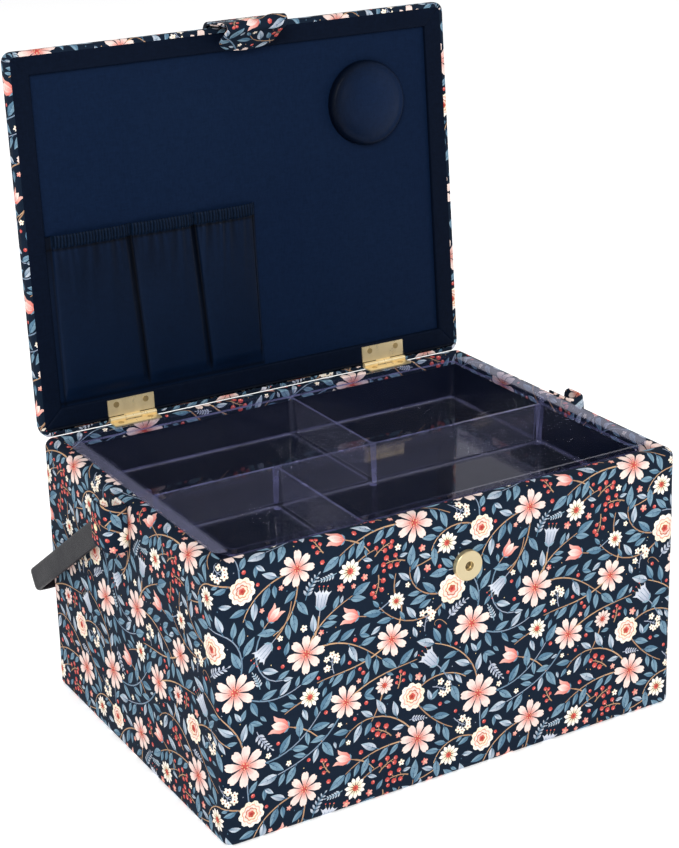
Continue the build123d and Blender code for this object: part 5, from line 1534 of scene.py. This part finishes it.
# ---- loops that hold the handle's ends: a doubled strip round each end of the strap
for label, sx in (("left", -1), ("right", 1)):
    x_in, x_out = 160.0 + 1.1, 174.7 - 1.1
    y0, y1, z0, z1 = -11.5 + 1.1, 12.5, 143.0, 172.0
    rc = (x_out - x_in) / 2 - 0.4
    run_in = y1 - (y0 + 2.6)
    R1, R2 = 2.6, 7.2
    flat_front = (x_out - x_in) - R1 - R2
    seg = (run_in, R1 * math.pi / 2, flat_front, R2 * math.pi / 2, y1 - (y0 + R2))
    at = np.concatenate([[0], np.cumsum(seg)])

    def loop_mid(c, sx=sx, at=at, seg=seg, x_in=x_in, x_out=x_out, y0=y0, y1=y1, R1=R1, R2=R2):
        l, z = c[:, 0], c[:, 1]
        x = np.full(len(l), x_in)
        y = y1 - l
        nx, ny = np.full(len(l), -1.0), np.zeros(len(l))
        a = np.clip((l - at[1]) / R1, 0, math.pi / 2)
        k = l > at[1]
        x, y = np.where(k, x_in + R1 - R1 * np.cos(a), x), np.where(k, y0 + R1 - R1 * np.sin(a), y)
        nx, ny = np.where(k, -np.cos(a), nx), np.where(k, -np.sin(a), ny)
        k = l > at[2]
        x, y = np.where(k, x_in + R1 + (l - at[2]), x), np.where(k, y0, y)
        nx, ny = np.where(k, 0, nx), np.where(k, -1, ny)
        a = np.clip((l - at[3]) / R2, 0, math.pi / 2)
        k = l > at[3]
        x, y = np.where(k, x_out - R2 + R2 * np.sin(a), x), np.where(k, y0 + R2 - R2 * np.cos(a), y)
        nx, ny = np.where(k, np.sin(a), nx), np.where(k, -np.cos(a), ny)
        k = l > at[4]
        x, y = np.where(k, x_out, x), np.where(k, y0 + R2 + (l - at[4]), y)
        return np.stack([sx * x, y, z], 1), np.stack([sx * nx, ny, np.zeros(len(l))], 1)

    L = at[-1]
    zm = (z0 + z1) / 2

    def loop_puff(c, d, sign, at=at, L=L, zm=zm):
        l, z = c[:, 0], c[:, 1]
        outer = step(l, at[3] - 1, at[3] + 8) * step(d, 0.0, 7.0)
        wrinkle = 0.22 * noise2(l, z, 81, 5.5) * step(d, 1.0, 4.0) * step(l, at[2], at[3])
        return (0.75 * outer + wrinkle) * (1 if sign > 0 else -0.2)

    c_r = 6.0
    loop_outline = [(0, z0), (L - c_r, z0)]
    loop_outline += [(L - c_r + c_r * math.sin(a), z0 + c_r - c_r * math.cos(a)) for a in np.linspace(0.25, math.pi / 2, 5)]
    loop_outline += [(L - c_r + c_r * math.cos(a), z1 - c_r + c_r * math.sin(a)) for a in np.linspace(0, math.pi / 2, 6)]
    loop_outline += [(0, z1)]
    lines = bars(steps(at[1], at[2], 4) + steps(at[3], at[4], 7), z0 + 0.02, z1 - 0.02)
    lines += bars([at[4] + v for v in (2, 4, 6, 8, 10, 12)], z0 + 0.6, z1 - 0.6)
    lines += bars([z0 + v for v in range(3, 28, 3)], at[2], L - 0.05, 1)
    flat_off = ((30.0, 20.0), (110.0, 60.0)) if sx < 0 else ((95.0, 12.0), (20.0, 90.0))
    loop = double_cloth("handle_loop_print_" + label, loop_outline, lines, loop_mid, 1.05, 1.1, flat_off, loop_puff)
    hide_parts("handle_loop_" + label)
    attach(loop, "box")

# ---- handle: a strap in grained leatherette, folded flat round its corners
ARM_IN, STRAP_T, STRAP_W, ARM_L = 167.0, 5.0, 15.0, 149.5
DROP = math.radians(34.3)
PIVOT = (4.0, 156.5)


def handle_at(x, y, w):
    """a point of the handle in metres: across, along the arms from the pivot, and across the strap's width"""
    x, y, w = np.broadcast_arrays(x, y, w)
    return np.stack([x, PIVOT[0] + y * math.cos(DROP) + w * math.sin(DROP), PIVOT[1] - y * math.sin(DROP) + w * math.cos(DROP)], -1) * MM


mid_x = ARM_IN + STRAP_T / 2
bend = 7.5
# middle line: each point with its outward direction, the facets of the corners kept crisp
line = [(-mid_x, y) for y in (-7.5, -7.3, -6.8, -6.0, -4.5, -2.5, 0, 3, 8)] + [(-mid_x, y) for y in np.linspace(14, ARM_L - bend - 3, 40)]
turns = [math.radians(v) for v in (0, 14, 40, 50, 76, 90)]
line += [(-mid_x + bend - bend * 1.02 * math.cos(a), ARM_L - bend + bend * 1.02 * math.sin(a)) for a in turns]
line += [(x, ARM_L) for x in np.linspace(-mid_x + bend + 3, 0, 38)]
line += [(-x, y) for x, y in line[-2::-1]]
line = np.array(line)
fine = [0.0]
for a, b in zip(line[:-1], line[1:]):
    fine.append(fine[-1] + float(np.linalg.norm(b - a)))
total = fine[-1]
sec = []
for k in range(28):                       # section: rounded edges, a flat face each side
    a = 2 * math.pi * k / 28
    c, s = math.cos(a), math.sin(a)
    sec.append((abs(c) ** 0.34 * (1 if c > 0 else -1), abs(s) ** 0.62 * (1 if s > 0 else -1)))
pts = []
for k, (x, y) in enumerate(line):
    a, b = line[max(k - 1, 0)], line[min(k + 1, len(line) - 1)]
    t = (b - a) / np.linalg.norm(b - a)
    n = np.array((-t[1], t[0]))           # outward on the way round
    s = fine[k]
    from_end = min(s, total - s)
    half_w = STRAP_W / 2 * (math.sqrt(max(1 - ((7.5 - from_end) / 7.5) ** 2, 0.0004)) if from_end < 7.5 else 1.0)
    in_bend = min(abs(s - (7.5 + ARM_L - bend + 6)), abs(total - s - (7.5 + ARM_L - bend + 6)))
    pinch = math.exp(-(in_bend / 7.0) ** 2)
    for u, v in sec:
        w = u * half_w * (1 + 0.012 * pinch * math.sin(k * 2.1))
        h = v * (STRAP_T / 2 - 0.12) * (1 - 0.06 * pinch * math.cos(k * 2.6))
        h += 0.10 * float(noise2(s, w * 1.6, 91, 9)) * (1 - abs(u) ** 4)
        if from_end < 2.5:
            h *= 0.55 + 0.45 * from_end / 2.5
        px, py = x + n[0] * h, y + n[1] * h
        pts.append(handle_at(px, py, w))
n_sec = len(sec)
faces = []
for i in range(len(line) - 1):
    for j in range(n_sec):
        a, b = i * n_sec + j, i * n_sec + (j + 1) % n_sec
        faces.append((a, b, b + n_sec, a + n_sec))
faces.append(tuple(range(n_sec))[::-1])
faces.append(tuple((len(line) - 1) * n_sec + j for j in range(n_sec)))
strap = new_mesh("handle_leatherette_strap", pts, faces, [LEATHER])
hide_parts("handle_cover")
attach(strap, "handle")
bm_fix = strap.data
import bmesh
bm = bmesh.new()
bm.from_mesh(bm_fix)
bmesh.ops.recalc_face_normals(bm, faces=bm.faces)
bm.to_mesh(bm_fix)
bm.free()

# ---------------------------------------------------------------- CAD nodes
NODE = {o["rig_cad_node"]: o for o in bpy.context.scene.objects if "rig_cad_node" in o}


def finish_node(names, material, slot=None):
    for name in names:
        o = NODE[name]
        o.data.materials.clear()
        o.data.materials.append(material)


finish_node(("front_lining", "back_lining", "left_lining", "right_lining", "floor_lining"), SATIN)
finish_node(("base_board", "front_board", "back_board", "left_board", "right_board", "lid_board"), BOARD)
finish_node(("lid_front_rail", "lid_back_rail", "lid_left_rail", "lid_right_rail"), RAIL)
finish_node(("lid_wadding",), WADDING)
finish_node(("base_cover",), BASE_CLOTH)
finish_node(("hinge_left_body_leaf", "hinge_right_body_leaf", "hinge_left_lid_leaf", "hinge_right_lid_leaf", "hinge_pins", "handle_rivets"), GOLD)
finish_node(("hinge_body_screws", "hinge_lid_screws"), SCREW)
finish_node(("snap_socket", "snap_stud"), SNAP_GOLD)
finish_node(("snap_socket_washer", "snap_stud_washer", "handle_rivet_washers"), STEEL)
finish_node(("handle_core",), CORE)
finish_node(("tray",), CLEAR)

# ---------------------------------------------------------------- floor, light and camera
floor_mat = Nodes("floor_white")
c = floor_mat.coord("Object")
f = floor_mat.noise(3.0, 4, 0.5, vector=c)
shader = floor_mat.principled(floor_mat.mixc(f, (0.90, 0.90, 0.905), (0.92, 0.92, 0.92)), 0.9, spec=0.05)
shader.inputs["Emission Color"].default_value = (1, 1, 1, 1)
shader.inputs["Emission Strength"].default_value = 0.34
floor = floor_mat.done(shader)
ground = new_mesh("floor", [(-14, -14, 0), (14, -14, 0), (14, 14, 0), (-14, 14, 0)], [(0, 1, 2, 3)], [floor], smooth=False)
ground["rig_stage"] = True

world = bpy.data.worlds.new("studio")
bpy.context.scene.world = world
world.use_nodes = True
world.node_tree.nodes["Background"].inputs["Color"].default_value = (1.0, 1.0, 1.0, 1)
world.node_tree.nodes["Background"].inputs["Strength"].default_value = 0.62


def area(name, at, to, size, power, color=(1, 1, 1)):
    light = bpy.data.lights.new(name, "AREA")
    light.shape = "RECTANGLE"
    light.size, light.size_y = size
    light.energy = power
    light.color = color
    o = bpy.data.objects.new(name, light)
    bpy.context.scene.collection.objects.link(o)
    o.location = at
    o.rotation_euler = (Vector(to) - Vector(at)).to_track_quat("-Z", "Y").to_euler()
    return o


area("key", (-1.5, -2.0, 1.7), (0, 0, 0.2), (1.1, 1.1), 52)
area("fill", (1.9, -1.2, 1.3), (0, 0, 0.15), (1.4, 1.6), 7)
area("back", (0.6, 1.9, 2.0), (0, 0, 0.2), (1.8, 1.0), 14)

cam_data = bpy.data.cameras.new("camera")
cam = bpy.data.objects.new("camera", cam_data)
bpy.context.scene.collection.objects.link(cam)
bpy.context.scene.camera = cam
az, el, roll = math.radians(-29.30), math.radians(17.58), math.radians(-1.72)
back = Vector((math.sin(az) * math.cos(el), -math.cos(az) * math.cos(el), math.sin(el)))
right = (-back).cross(Vector((0, 0, 1))).normalized()
upv = right.cross(-back)
r2 = right * math.cos(roll) + upv * math.sin(roll)
u2 = upv * math.cos(roll) - right * math.sin(roll)
rot = Matrix((r2, u2, back)).transposed()
cam.matrix_world = Matrix.Translation((-0.5949, -1.0039, 0.6234)) @ rot.to_4x4()
cam_data.sensor_width = 36.0
cam_data.lens = 84.64
cam_data.shift_x, cam_data.shift_y = 0.03998, -0.12146
cam_data.clip_start, cam_data.clip_end = 0.05, 60

sc = bpy.context.scene
sc.view_settings.view_transform = "Standard"
sc.view_settings.look = "None"
sc.cycles.transparent_max_bounces = 24
sc.cycles.max_bounces = 10

low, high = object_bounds()
